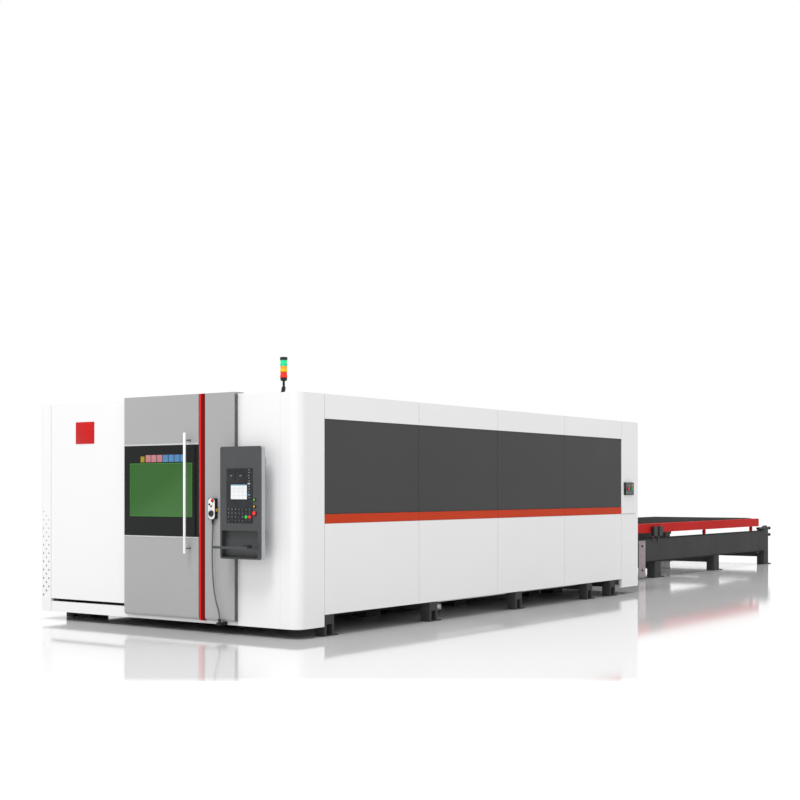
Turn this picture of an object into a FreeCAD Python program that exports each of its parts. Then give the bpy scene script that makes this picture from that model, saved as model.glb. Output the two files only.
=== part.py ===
import FreeCAD, Part
import math
import os
import Sketcher

# Fiber laser cutting machine: a closed cutting cabin with an operator's door and console at
# the front, and a two-level pallet changer behind it.
#
# Frame: +Z up, the operator's side faces -Y, the long side with the dark windows is at +X.
# The origin is on the floor under the middle of the whole machine. Millimetres.
# Places along Y are counted from the face of the front wall, and places across from the
# middle of the cabin.

doc = FreeCAD.newDocument("LaserCuttingMachine")
sheet = doc.addObject("Spreadsheet::Sheet", "Sizes")

SIZES = [
    # cabin
    ("front_y", -7583, "front wall's face, from the middle of the machine"),
    ("cabin_width", 3720, "over the side walls"),
    ("cabin_length", 7300, "front wall to rear wall"),
    ("cabin_top", 2346, "top of the walls"),
    ("skirt_bottom", 96, "bottom of the front wall and of the corner columns"),
    ("side_bottom", 212, "bottom of the side panels"),
    ("skin", 3, "sheet of the folded panels"),
    ("pan_depth", 40, "depth of a folded panel"),
    ("seam", 5, "gap between two panels"),
    ("bay_count", 4, "side panels in a row"),
    ("corner_side", 395, "front column along the side"),
    ("corner_front", 214, "front column across the front"),
    ("corner_radius", 100, "rounding of the front columns"),
    ("stripe_bottom", 1093, "bottom of the coloured stripe"),
    ("stripe_top", 1185, "top of the coloured stripe"),
    ("header", 240, "white header above the dark windows"),
    ("window_inset", 6, "dark windows behind the white panels' face"),
    ("frame_tube", 80, "square tube of the cabin's frame"),
    ("dot_pitch", 91, "perforation: step up the column"),
    ("dot_column_pitch", 46, "perforation: step across the column"),
    ("dot_rows", 11, "perforation: dots in a column of dots"),
    ("dot_sides", 6, "perforation: corners of a dot"),
    ("dot_radius_low", 8, "perforation: radius of the lowest dots"),
    ("dot_radius_high", 3, "perforation: radius of the highest dots"),
    ("dot_first", 560, "perforation: height of the lowest dots"),
    ("dot_depth", 4.5, "perforation: depth of the cut, past the sheet"),
    # front wall and operator's door
    ("door_width", 1058, "width of the door"),
    ("door_bottom", 128, "bottom of the door"),
    ("door_rise", 24, "top of the door's cap above the walls"),
    ("door_face", 50, "face of the door in front of the wall"),
    ("door_clear", 8, "door's back to the wall"),
    ("door_bend", 38, "rounding of the door's bottom edge"),
    ("door_skin", 6, "door's cap"),
    ("door_joint", 2, "gap between the door and the red strip, and twice that beside the strip"),
    ("door_overlap", 60, "door past each edge of the doorway"),
    ("doorway_drop", 100, "top of the doorway below the rail's top"),
    ("slot_bottom", 206, "guide slot above the sill"),
    ("slot_top", 237, "guide slot below the left panel"),
    ("strip_width", 88, "red strip beside the door"),
    ("fixed_width", 392, "fixed grey panel beside the red strip"),
    ("fixed_inset", 761, "right edge of the fixed grey panel, from the side wall's face"),
    ("band_bottom", 950, "black band across the door"),
    ("band_top", 1869, "black band across the door"),
    ("band_sheet", 5, "thickness of the black band"),
    ("glass_left", 91, "glass from the door's left edge"),
    ("glass_right", 89, "glass from the door's right edge"),
    ("glass_bottom", 1149, "bottom of the laser glass"),
    ("glass_top", 1687, "top of the laser glass"),
    ("glass_lip", 20, "door's lip behind the glass"),
    ("handle_radius", 15, "handle tube"),
    ("handle_inset", 122, "handle from the door's right edge"),
    ("handle_reach", 85, "handle's axis in front of the door"),
    ("handle_bottom", 789, "lower end of the handle"),
    ("handle_top", 1994, "upper end of the handle"),
    ("post_low", 819, "handle's lower standoff"),
    ("post_high", 1905, "handle's upper standoff"),
    ("post_radius", 9, "handle's standoffs"),
    ("roller_radius", 35, "door's hanging rollers"),
    ("roller_width", 22, "door's hanging rollers"),
    ("roller_gap", 1, "roller in front of its hanger's foot"),
    ("roller_sides", 48, "flats around a roller"),
    ("roller_inset", 200, "roller from the door's edge"),
    ("axle_radius", 8, "roller's axle"),
    ("axle_gap", 0.05, "running clearance on the axle"),
    ("running_gap", 0.3, "gap between a roller and its rail"),
    ("track_inset", 106, "top of the door's rail below the top of the walls"),
    ("track_sheet", 5, "door's rail"),
    ("track_drop", 60, "height of the door's rail"),
    ("track_width", 38, "door's rail, from the wall's back"),
    ("hanger_gap", 10, "door's hangers behind the rollers"),
    ("hanger_width", 120, "door's hangers"),
    ("hanger_drop", 30, "hangers below the rollers' axles"),
    ("guide_width", 60, "door's guides in the slot"),
    # console
    ("console_inset", 809, "left edge of the console, from the side wall's face"),
    ("console_width", 520, "width of the console"),
    ("console_bottom", 757, "bottom of the console"),
    ("console_height", 1076, "height of the console"),
    ("console_face", 200, "console's face in front of the wall"),
    ("console_depth", 62, "thickness of the console"),
    ("console_round", 22, "rounding of the console's corners"),
    ("face_sheet", 4, "dark face plate of the console"),
    ("shell_edge", 6, "light edge around the dark face"),
    ("neck_inset", 110, "console's mounting neck from its edges"),
    ("pad_left", 85, "keypad from the console's left edge"),
    ("pad_width", 333, "keypad's black panel"),
    ("pad_rise", 343, "keypad's black panel above the console's bottom"),
    ("pad_height", 523, "keypad's black panel"),
    ("pad_sheet", 3, "keypad's black panel"),
    ("screen_left", 54, "screen from the keypad's left edge"),
    ("screen_width", 211, "screen"),
    ("screen_rise", 227, "screen above the keypad's bottom"),
    ("screen_height", 145, "screen"),
    ("key_columns", 7, "keys in a row"),
    ("key_rows", 4, "rows of keys"),
    ("key_pitch_x", 45, "keys' pitch across"),
    ("key_pitch_z", 36, "keys' pitch up"),
    ("key_gap", 7, "gap between two keys"),
    ("key_left", 10, "keys from the keypad's left edge"),
    ("key_low", 10, "keys from the keypad's bottom"),
    ("key_rise", 2, "keys above the keypad"),
    ("button_across", 446, "console's buttons from its left edge"),
    ("button_rise", 440, "stop button above the console's bottom"),
    ("button_pitch", 64, "console's buttons, one above the other"),
    ("lamp_radius", 13, "console's small buttons"),
    ("stop_radius", 19, "console's stop button"),
    ("stem_width", 15, "square stem of a button"),
    ("stem_hole", 40, "depth of the hole for a console button's stem"),
    ("stem_gap", 0.3, "clearance around a stem or a cap"),
    ("cap_sides", 32, "flats around a button's cap"),
    ("push_travel", 4, "travel of a small button"),
    ("stop_travel", 6, "travel of a stop button"),
    ("niche_left", 22, "niche from the console's left edge"),
    ("niche_width", 458, "niche in the console"),
    ("niche_rise", 19, "niche above the console's bottom"),
    ("niche_height", 252, "niche in the console"),
    ("niche_depth", 54, "niche in the console"),
    ("tray_rise", 94, "top of the folding tray above the niche's bottom"),
    ("tray_sheet", 10, "folding tray"),
    ("tray_reach", 348, "front of the tray, from the wall"),
    ("tray_hinge", 192, "tray's hinge, from the wall"),
    ("tray_lip", 14, "edge around the tray"),
    ("pin_radius", 4, "tray's hinge pins"),
    ("mouse_length", 96, "pointing device on the tray"),
    ("mouse_width", 58, "pointing device on the tray"),
    ("mouse_height", 30, "pointing device on the tray"),
    ("mouse_round", 24, "pointing device's corners"),
    ("mouse_inset", 15, "pointing device from the tray's edges"),
    # hand control and its cable
    ("pendant_inset", 1075, "hand control's left edge, from the side wall's face"),
    ("pendant_width", 92, "hand control"),
    ("pendant_bottom", 1130, "hand control"),
    ("pendant_height", 206, "hand control"),
    ("pendant_depth", 38, "hand control"),
    ("pendant_round", 14, "hand control's corners"),
    ("dial_radius", 30, "hand control's dial"),
    ("dial_depth", 14, "hand control's dial"),
    ("dial_rise", 56, "dial's axis above the hand control's bottom"),
    ("dial_grips", 36, "flats around the dial"),
    ("dial_flats", 12, "flats around the dial's stem and knob"),
    ("dial_stem", 15, "radius of the dial's stem"),
    ("dial_knob", 4, "radius of the finger knob on the dial"),
    ("pendant_bore", 20, "holes in the hand control's face"),
    ("pendant_stop_radius", 15, "hand control's stop button"),
    ("pendant_stop_rise", 184, "stop button above the hand control's bottom"),
    ("pendant_stop_shift", 15, "stop button, from the hand control's middle"),
    ("pendant_key_rise", 76, "side key above the hand control's bottom"),
    ("pendant_key_height", 30, "hand control's side key"),
    ("pendant_key_width", 18, "hand control's side key"),
    ("pendant_key_depth", 12, "side key in its pocket, and the pocket from the face"),
    ("pendant_key_out", 6, "side key proud of the hand control"),
    ("cable_radius", 7, "hand control's cable"),
    ("gland_shift", 108, "cable gland, from the hand control's middle"),
    ("gland_reach", 90, "cable gland's axis, from the wall"),
    ("gland_top", 140, "top of the cable gland"),
    ("gland_width", 44, "cable gland's block"),
    ("gland_height", 28, "cable gland's block"),
    ("collar_radius", 13, "cable gland's collar"),
    ("collar_height", 14, "cable gland's collar"),
    # signal tower
    ("tower_inset", 348, "signal tower, from the side wall's face"),
    ("tower_back", 200, "signal tower, from the wall"),
    ("tower_foot_reach", 35, "bent foot of the signal tower"),
    ("tower_pole_radius", 11, "signal tower's pole"),
    ("tower_pole_height", 131, "signal tower's pole above the roof"),
    ("tower_base", 27, "signal tower's base below its lenses"),
    ("lens_height", 60, "one lens"),
    ("lens_radius", 34, "lenses"),
    ("tower_cap", 20, "cap on the lenses"),
    ("tower_ribs", 24, "flats around the ribbed lenses"),
    ("lens_count", 3, "lenses"),
    # side station
    ("station_inset", 74, "side station, from the last side panel"),
    ("station_length", 247, "side station"),
    ("station_bottom", 1347, "side station"),
    ("station_top", 1517, "side station"),
    ("station_depth", 26, "side station"),
    ("station_button_radius", 22, "side station's buttons"),
    ("station_button_pitch", 112, "side station's buttons"),
    ("station_cap", 12, "side station's buttons"),
    ("station_hole", 14, "holes in the side station's face"),
    # rear
    ("rear_column", 505, "rear column along the side"),
    ("rear_seam", 1093, "seam across the rear columns"),
    ("shuttle_gap_left", 70, "pallets' doorway, from the changer's left face"),
    ("shuttle_gap_right", 80, "pallets' doorway, from the changer's right face"),
    ("shuttle_bottom", 236, "pallets' doorway"),
    ("shuttle_top", 1190, "pallets' doorway"),
    # bed and gantry
    ("bed_front", 250, "front of the bed"),
    ("bed_back_inset", 250, "back of the bed, from the rear wall"),
    ("bed_beam_width", 200, "bed's side beams"),
    ("bed_beam_bottom", 560, "bed's side beams"),
    ("bed_beam_top", 960, "bed's side beams"),
    ("bed_gap", 50, "pallet's side to the bed's beam"),
    ("runner_bottom", 60, "bed's lower beams"),
    ("runner_top", 180, "bed's lower beams"),
    ("upright_length", 260, "bed's uprights"),
    ("station_first", 400, "first pedestal"),
    ("arch_height", 117, "arch through a pedestal"),
    ("arch_leg", 30, "pedestal's legs beside its arch"),
    ("pedestal_length", 144, "pedestals along the cabin"),
    ("outrigger", 40, "outriggers between the bed and the pedestals"),
    ("station_count", 4, "pedestals at an even pitch"),
    ("station_last_inset", 840, "last pedestal, from the rear wall"),
    ("station_last_gap", 660, "last pedestal behind the one before it"),
    ("cabinet_gap", 30, "gap beside the cabinets"),
    ("source_high", 1450, "top of the laser source"),
    ("cabinet_high", 1950, "top of the electrical cabinet"),
    ("rail_width", 34, "gantry's rails"),
    ("rail_height", 40, "gantry's rails"),
    ("rack_width", 30, "gantry's racks"),
    ("carriage_length", 520, "gantry's end carriages"),
    ("carriage_height", 80, "gantry's end carriages"),
    ("gantry_depth", 300, "gantry's beam"),
    ("gantry_height", 380, "gantry's beam"),
    ("gantry_home", 760, "front of the gantry's beam"),
    ("gantry_motor_inset", 30, "gantry's motors from the carriages' edges"),
    ("gantry_motor_height", 190, "gantry's motors"),
    ("slide_gap", 0.5, "gap between a slide and its rail"),
    ("cross_width", 320, "cross carriage"),
    ("cross_height", 460, "cross carriage"),
    ("cross_plate", 30, "cross carriage"),
    ("cross_inset", 260, "cross carriage's middle, from the bed's left beam"),
    ("cross_rail", 28, "gantry's cross rails"),
    ("head_rail", 20, "head's rails, square"),
    ("head_rail_pitch", 100, "head's rails"),
    ("head_motor_width", 90, "head's motor"),
    ("head_motor_height", 220, "head's motor"),
    ("head_width", 150, "head slide"),
    ("head_plate", 25, "head slide"),
    ("head_half", 48, "half the width of the cutting head's square housing"),
    ("head_neck_radius", 29, "cutting head's neck"),
    ("fibre_radius", 24, "fibre connector on the head"),
    ("nozzle_tip", 1030, "tip of the nozzle"),
    ("nozzle_radius", 3, "tip of the nozzle"),
    ("nozzle_length", 40, "nozzle"),
    ("head_shoulder", 130, "bottom of the head's housing, above the tip"),
    ("head_body", 420, "top of the head's housing, above the tip"),
    ("head_top", 500, "top of the head's fibre connector, above the tip"),
    ("head_slide_low", 180, "bottom of the head slide, above the tip"),
    ("head_slide_height", 368, "head slide"),
    ("head_clamp", 40, "head's clamp"),
    # pallets and their changer
    ("table_right_inset", 1110, "right face of the changer, from the side wall's face"),
    ("table_left_inset", 450, "left face of the changer, from the side wall's face"),
    ("table_beam", 100, "changer's beams, and the upper pallet's side rails"),
    ("table_beam_bottom", 265, "changer's beams"),
    ("table_beam_top", 646, "changer's beams"),
    ("table_gap", 30, "changer behind the rear wall"),
    ("table_leg_x", 140, "changer's legs"),
    ("table_leg_y", 220, "changer's legs"),
    ("table_leg_first", 504, "first leg, from the changer's front"),
    ("table_leg_last", 271, "last leg behind the upper pallet"),
    ("table_leg_count", 4, "legs in a row"),
    ("foot_plate", 12, "foot plates"),
    ("foot_plate_reach", 150, "foot plates behind the legs"),
    ("pallet_outside", 1308, "front of the upper pallet, from the changer's front"),
    ("pallet_inside", 558, "front of the lower pallet, from the front wall"),
    ("pallet_length", 6200, "pallets"),
    ("pallet_rail_bottom", 732, "upper pallet's side rails"),
    ("pallet_rail_top", 875, "upper pallet's side rails"),
    ("lower_rail_width", 60, "lower pallet's side rails"),
    ("lower_gap", 10, "lower pallet to the changer's beams"),
    ("pallet_drop", 255, "lower pallet below the upper one"),
    ("pallet_end", 60, "pallets' end rails"),
    ("slat_sheet", 5, "support slats"),
    ("slat_height", 100, "support slats"),
    ("slat_rise", 20, "support slats above the side rails"),
    ("slat_pitch", 104, "support slats"),
    ("pallet_ties", 3, "pallets' ties between the end rails"),
    ("pallet_tie_height", 40, "pallets' ties"),
    ("wheel_radius", 41, "pallets' wheels"),
    ("wheel_width", 34, "pallets' wheels"),
    ("wheel_sides", 20, "flats around a wheel"),
    ("fork_sheet", 6, "wheels' forks"),
    ("fork_width", 28, "wheels' forks"),
    ("ledge", 40, "height of the inner tracks"),
    ("lift_housing", 96, "lift's housings, square"),
    ("lift_post", 48, "lift's posts, square"),
    ("shaft_radius", 20, "changer's drive shaft"),
    ("sprocket_radius", 60, "changer's sprockets"),
    ("sprocket_width", 16, "changer's sprockets"),
    ("sprocket_teeth", 18, "corners of a sprocket"),
    ("drive_inset", 129, "drive shaft in front of the last leg"),
    ("drive_rise", 55, "drive shaft above the beams' bottom"),
    ("motor_width", 110, "changer's motor, square"),
    ("motor_length", 240, "changer's motor"),
    ("gearbox", 120, "changer's gearbox, a cube"),
    ("link_start", 2313, "link plates, from the changer's front"),
    ("link_length", 239, "link plates on the changer's sides"),
    ("link_bottom", 42, "link plates on the changer's sides"),
    ("link_top", 613, "link plates on the changer's sides"),
    ("link_sheet", 10, "link plates on the changer's sides"),
    ("sensor_start", 2766, "first sensor housing, from the changer's front"),
    ("sensor_pitch", 198, "sensor housings"),
    ("sensor_length", 142, "sensor housings"),
    ("sensor_depth", 50, "sensor housings"),
    ("sensor_bottom", 680, "sensor housings"),
    ("sensor_top", 829, "sensor housings"),
    ("bracket_width", 50, "sensor housings' brackets"),
    ("bracket_sheet", 12, "sensor housings' brackets"),
    ("bracket_drop", 60, "sensor housings' brackets below the beam's top"),
    ("stop_bar", 60, "width of the end stops"),
    ("stop_bar_inset", 20, "end stops from the beams' outer faces"),
    ("stop_bar_reach", 200, "end stops in front of the last leg"),
    ("stop_bar_sheet", 30, "end stops, and the last legs above the beams"),
    ("buffer_radius", 19, "rubber buffers"),
    ("buffer_sides", 20, "flats around a buffer"),
    ("buffer_reach", 207, "rubber buffers"),
    ("buffer_top", 35, "upper buffer's axis above the beam"),
    ("buffer_low", 90, "lower buffer's axis below the beam's top"),
]

for row, (alias, number, note) in enumerate(SIZES, 1):
    sheet.set(f"A{row}", note)
    sheet.set(f"B{row}", str(number))
    sheet.setAlias(f"B{row}", alias)
doc.recompute()


class Size(float):
    """A number with the sheet expression that it stands for."""

    def __new__(cls, number, text=None):
        size = super().__new__(cls, number)
        size.text = text or f"({float(number)!r})"
        return size

    def __add__(self, other):
        return Size(float(self) + float(other), f"({self.text} + {text_of(other)})")

    def __radd__(self, other):
        return Size(float(other) + float(self), f"({text_of(other)} + {self.text})")

    def __sub__(self, other):
        return Size(float(self) - float(other), f"({self.text} - {text_of(other)})")

    def __rsub__(self, other):
        return Size(float(other) - float(self), f"({text_of(other)} - {self.text})")

    def __mul__(self, other):
        return Size(float(self) * float(other), f"({self.text} * {text_of(other)})")

    def __rmul__(self, other):
        return self * other

    def __truediv__(self, other):
        return Size(float(self) / float(other), f"({self.text} / {text_of(other)})")

    def __neg__(self):
        return Size(-float(self), f"(0 - {self.text})")


def text_of(number):
    """The expression of a size, or a plain number's own digits."""
    return number.text if isinstance(number, Size) else f"({float(number)!r})"


class Cells:
    """The sheet's cells by name."""


cells = Cells()
for alias, number, note in SIZES:
    setattr(cells, alias, Size(float(sheet.get(alias)), f"Sizes.{alias}"))
c = cells
PARTS = []


# ---------------------------------------------------------------- building blocks

def bind(piece, field, number):
    """Tie one field of an object to the sheet."""
    piece.setExpression(field, text_of(number))


def place(piece, at, turn=None):
    """Put a piece at (across, from the front wall, up), turned about an axis if need be."""
    if turn:
        piece.Placement = FreeCAD.Placement(FreeCAD.Vector(), FreeCAD.Rotation(*turn))
    across, back, up = at
    bind(piece, "Placement.Base.x", across)
    bind(piece, "Placement.Base.y", c.front_y + back)
    bind(piece, "Placement.Base.z", up)
    return piece


AROUND_X = (FreeCAD.Vector(0, 1, 0), 90)
AROUND_Y = (FreeCAD.Vector(1, 0, 0), -90)
TOWARDS_FRONT = (FreeCAD.Vector(1, 0, 0), 90)


def box(size, at):
    """A block between its least corner and that corner plus its size."""
    piece = doc.addObject("Part::Box", "Block")
    for field, number in zip(("Length", "Width", "Height"), size):
        bind(piece, field, number)
    return place(piece, at)


def span(x, y, z):
    """A block given by its two ends along each axis."""
    return box((x[1] - x[0], y[1] - y[0], z[1] - z[0]), (x[0], y[0], z[0]))


def square_bar(width, at, low, high):
    """Upright square bar around a place."""
    wide = width / 2
    return span((at[0] - wide, at[0] + wide), (at[1] - wide, at[1] + wide), (low, high))


def rod(radius, length, at, turn=None):
    """A cylinder from `at` along +Z, or along the axis that `turn` gives."""
    piece = doc.addObject("Part::Cylinder", "Rod")
    bind(piece, "Radius", radius)
    bind(piece, "Height", length)
    return place(piece, at, turn)


def prism(sides, radius, length, at, turn=None):
    """A bar with flats, laid as a rod is."""
    piece = doc.addObject("Part::Prism", "Bar")
    piece.Polygon = int(sides)
    bind(piece, "Circumradius", radius)
    bind(piece, "Height", length)
    return place(piece, at, turn)


def cut(base, *tools):
    """The base without its tools."""
    for tool in tools:
        piece = doc.addObject("Part::Cut", "Cut")
        piece.Base = base
        piece.Tool = tool
        base = piece
    return base


def fuse(*pieces):
    """Several pieces as one solid."""
    piece = doc.addObject("Part::MultiFuse", "Fuse")
    piece.Shapes = list(pieces)
    piece.Refine = True
    return piece


def subpart(name, *pieces):
    """Name a sub-part. Several pieces stay separate solids."""
    piece = pieces[0]
    if len(pieces) > 1:
        piece = doc.addObject("Part::Compound", "Group")
        piece.Links = list(pieces)
    piece.Label = name
    PARTS.append(piece)
    return piece


def pan(x, y, z, open_to):
    """A folded sheet panel: a tray of `skin` that is open to one side, such as "-x"."""
    inner = []
    for letter, (low, high) in zip("xyz", (x, y, z)):
        low_wall = 0 if open_to == "-" + letter else c.skin
        high_wall = 0 if open_to == "+" + letter else c.skin
        inner.append((low + low_wall, high - high_wall))
    return cut(span(x, y, z), span(*inner))


def corner_points(corners):
    """Turn corners (across, up, radius) into the ends of the outline's straight runs."""
    ends = []
    for number, corner in enumerate(corners):
        x, y = corner[:2]
        radius = corner[2] if len(corner) > 2 else None
        if radius is None:
            ends.append([(x, y)])
            continue
        pair = []
        for other in (corners[number - 1], corners[(number + 1) % len(corners)]):
            across, up = float(other[0]) - float(x), float(other[1]) - float(y)
            if abs(across) > abs(up):
                pair.append((x + radius * math.copysign(1, across), y))
            else:
                pair.append((x, y + radius * math.copysign(1, up)))
        ends.append(pair)
    return ends


def outline(body, plane, corners, name="Outline"):
    """A closed sketch on a body's own plane. A corner with a third value is rounded by it."""
    sketch = body.newObject("Sketcher::SketchObject", name)
    origin = next(f for f in body.Origin.OriginFeatures if f.Role == plane)
    sketch.AttachmentSupport = [(origin, "")]
    sketch.MapMode = "FlatFace"
    ends = corner_points(corners)
    vector = [[FreeCAD.Vector(float(x), float(y), 0) for x, y in pair] for pair in ends]
    lines = []
    for number in range(len(corners)):
        start, stop = vector[number][-1], vector[(number + 1) % len(corners)][0]
        lines.append(sketch.addGeometry(Part.LineSegment(start, stop), False))

    def fix(geometry, end, point):
        for kind, number in zip(("DistanceX", "DistanceY"), point):
            at = sketch.addConstraint(
                Sketcher.Constraint(kind, -1, 1, geometry, end, float(number)))
            sketch.setExpression(f"Constraints[{at}]", text_of(number))

    for number, corner in enumerate(corners):
        before, after = lines[number - 1], lines[number]
        if len(corner) < 3:
            sketch.addConstraint(Sketcher.Constraint("Coincident", before, 2, after, 1))
            fix(after, 1, ends[number][0])
            continue
        first, last = vector[number]
        middle = FreeCAD.Vector(float(corner[0]), float(corner[1]), 0)
        centre = first + last - middle
        left_turn = (first - centre).cross(last - centre).z > 0
        begin, end = (first, last) if left_turn else (last, first)
        head, tail = (1, 2) if left_turn else (2, 1)
        angles = [math.atan2(point.y - centre.y, point.x - centre.x) for point in (begin, end)]
        circle = Part.Circle(centre, FreeCAD.Vector(0, 0, 1), float(corner[2]))
        arc = sketch.addGeometry(Part.ArcOfCircle(circle, *angles), False)
        sketch.addConstraint(Sketcher.Constraint("Coincident", before, 2, arc, head))
        sketch.addConstraint(Sketcher.Constraint("Coincident", after, 1, arc, tail))
        fix(before, 2, ends[number][0])
        fix(after, 1, ends[number][1])
        at = sketch.addConstraint(Sketcher.Constraint("Radius", arc, float(corner[2])))
        sketch.setExpression(f"Constraints[{at}]", text_of(corner[2]))
    return sketch


def body_at(at, turn=None):
    """An empty body at a place."""
    return place(doc.addObject("PartDesign::Body", "Body"), at, turn)


def pad(body, sketch, length, reverse=False):
    """Raise a sketch into a solid."""
    feature = body.newObject("PartDesign::Pad", "Pad")
    feature.Profile = sketch
    bind(feature, "Length", length)
    feature.Reversed = reverse
    body.Tip = feature
    return feature


def pocket(body, sketch, depth, reverse=False):
    """Cut a sketch into the solid."""
    feature = body.newObject("PartDesign::Pocket", "Pocket")
    feature.Profile = sketch
    bind(feature, "Length", depth)
    feature.Reversed = reverse
    body.Tip = feature
    return feature


def plate_outline(low, high, radius=None):
    """Corners of a rectangle, rounded if a radius is given."""
    corners = [(low[0], low[1]), (high[0], low[1]), (high[0], high[1]), (low[0], high[1])]
    return [corner + (radius,) for corner in corners] if radius else corners


# ---------------------------------------------------------------- shared places

half = c.cabin_width / 2
front_edge = half - c.corner_front
window_top = c.cabin_top - c.header
door_top = c.cabin_top + c.door_rise
track_floor = c.cabin_top - c.track_inset
doorway_top = track_floor - c.doorway_drop
fixed_right = half - c.fixed_inset
strip_right = fixed_right - c.fixed_width
door_right = strip_right - c.strip_width
door_left = door_right - c.door_width
glass_width = c.door_width - c.glass_left - c.glass_right
doorway_left = door_left + c.door_overlap
doorway_right = door_right - c.door_overlap
roller_near = c.pan_depth + 2 * c.track_sheet
hanger_near = roller_near + c.roller_width + c.hanger_gap
cap_back = hanger_near + c.door_skin
roller_height = track_floor + c.roller_radius + c.running_gap
frame_front = c.corner_radius + cap_back - c.pan_depth
pedestal_depth = c.frame_tube + c.pan_depth
rail_bottom = track_floor - c.track_drop
post_top = rail_bottom - c.seam
side_end = c.cabin_length - c.rear_column
bay = (side_end - c.corner_side) / c.bay_count
console_left = half - c.console_inset
pendant_left = half - c.pendant_inset
pendant_middle = pendant_left + c.pendant_width / 2
console_top = c.console_bottom + c.console_height
pad_bottom = c.console_bottom + c.pad_rise
pad_top = pad_bottom + c.pad_height
screen_bottom = pad_bottom + c.screen_rise
screen_top = screen_bottom + c.screen_height
stop_low = c.console_bottom + c.button_rise
lamp_low = stop_low + c.button_pitch
lamp_high = lamp_low + c.button_pitch
niche_bottom = c.console_bottom + c.niche_rise
niche_top = niche_bottom + c.niche_height
tray_height = niche_bottom + c.tray_rise
pendant_top = c.pendant_bottom + c.pendant_height
dial_height = c.pendant_bottom + c.dial_rise
pendant_stop_height = c.pendant_bottom + c.pendant_stop_rise
pendant_key_low = c.pendant_bottom + c.pendant_key_rise
pendant_key_high = pendant_key_low + c.pendant_key_height
table_right = half - c.table_right_inset
table_left = c.table_left_inset - half
table_front = c.cabin_length + c.table_gap
bed_inner_right = table_right + c.bed_gap
bed_inner_left = table_left - c.bed_gap
bed_outer_right = bed_inner_right + c.bed_beam_width
bed_outer_left = bed_inner_left - c.bed_beam_width
lower_right = table_right - c.table_beam - c.lower_gap
lower_left = table_left + c.table_beam + c.lower_gap
bed_back = c.cabin_length - c.bed_back_inset
cross_home = bed_inner_left + c.cross_inset
pallet_front = table_front + c.pallet_outside
lift_rail_top = c.table_beam_top - c.pallet_drop
drive_height = c.table_beam_bottom + c.drive_rise
BAYS = range(int(c.bay_count))


def row(first, last, count):
    """Places at an even pitch from the first to the last."""
    pitch = (last - first) / (count - 1)
    return [first + pitch * number for number in range(int(count) - 1)] + [last]


station_last = c.cabin_length - c.station_last_inset
STATIONS = row(c.station_first, station_last - c.station_last_gap, c.station_count)
STATIONS.append(station_last)
LEGS = row(table_front + c.table_leg_first,
           pallet_front + c.pallet_length + c.table_leg_last, c.table_leg_count)
drive_back = LEGS[-1] - c.drive_inset


# ---------------------------------------------------------------- cabin

def cabin_frame():
    """Posts at the seams, with rails above and below them, in square tube."""
    tube = c.frame_tube
    outer, inner = half - c.pan_depth, half - c.pan_depth - tube
    top = c.cabin_top - c.pan_depth
    along = (frame_front, c.cabin_length - c.pan_depth)
    pieces = []
    for low, high in ((inner, outer), (-outer, -inner)):
        for number in range(int(c.bay_count) + 1):
            seam = c.corner_side + bay * number
            pieces.append(span((low, high), (seam - tube / 2, seam + tube / 2),
                               (c.side_bottom + tube, top - tube)))
        pieces.append(span((low, high), along, (c.side_bottom, c.side_bottom + tube)))
        pieces.append(span((low, high), along, (top - tube, top)))
    pieces.append(span((-inner, inner), (along[1] - tube, along[1]), (top - tube, top)))
    pieces.append(span((-inner, inner), (frame_front, frame_front + tube), (post_top, top)))
    for left in (-front_edge + c.seam, doorway_left - c.seam - tube, doorway_right + c.seam,
                 fixed_right - tube / 2, front_edge - c.seam - tube):
        pieces.append(span((left, left + tube), (c.pan_depth, frame_front + tube),
                           (c.skirt_bottom, post_top)))
    subpart("cabin_frame", *pieces)


def front_column(name, side, holes=()):
    """Rounded corner column: an L-shaped box of sheet, closed at the top, open below."""
    body = body_at((0, 0, c.skirt_bottom))
    height = c.cabin_top - c.skirt_bottom

    def ell(inset):
        edge, deep = half - inset, c.pan_depth - inset
        front, back = front_edge + inset, c.corner_side - inset
        inner = half - deep
        corners = [
            (front * side, inset), (edge * side, inset, c.corner_radius - inset),
            (edge * side, back), (inner * side, back),
            (inner * side, deep, c.corner_radius - deep), (front * side, deep)]
        return corners if side > 0 else corners[::-1]

    pad(body, outline(body, "XY_Plane", ell(Size(0))), height)
    pocket(body, outline(body, "XY_Plane", ell(c.skin), "Hollow"), height - c.skin, True)
    piece = body
    if holes:
        piece = doc.addObject("Part::Cut", "Cut")
        piece.Base = body
        drill = doc.addObject("Part::MultiFuse", "Dots")
        drill.Shapes = list(holes)
        piece.Tool = drill
    subpart(name, piece)


def dots():
    """Staggered holes in the left column's face, smaller the higher they are."""
    holes = []
    middle = -(front_edge + half - c.corner_radius) / 2
    for column in (-1, 0, 1):
        for number in range(int(c.dot_rows)):
            shift = 0.5 if column == 0 else 0
            share = (number + shift) / float(c.dot_rows)
            radius = c.dot_radius_low + (c.dot_radius_high - c.dot_radius_low) * share
            height = c.dot_first + c.dot_pitch * (number + shift)
            at = (middle + c.dot_column_pitch * column, c.dot_depth, height)
            holes.append(prism(c.dot_sides, radius, 2 * c.dot_depth, at, TOWARDS_FRONT))
    return holes


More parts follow.
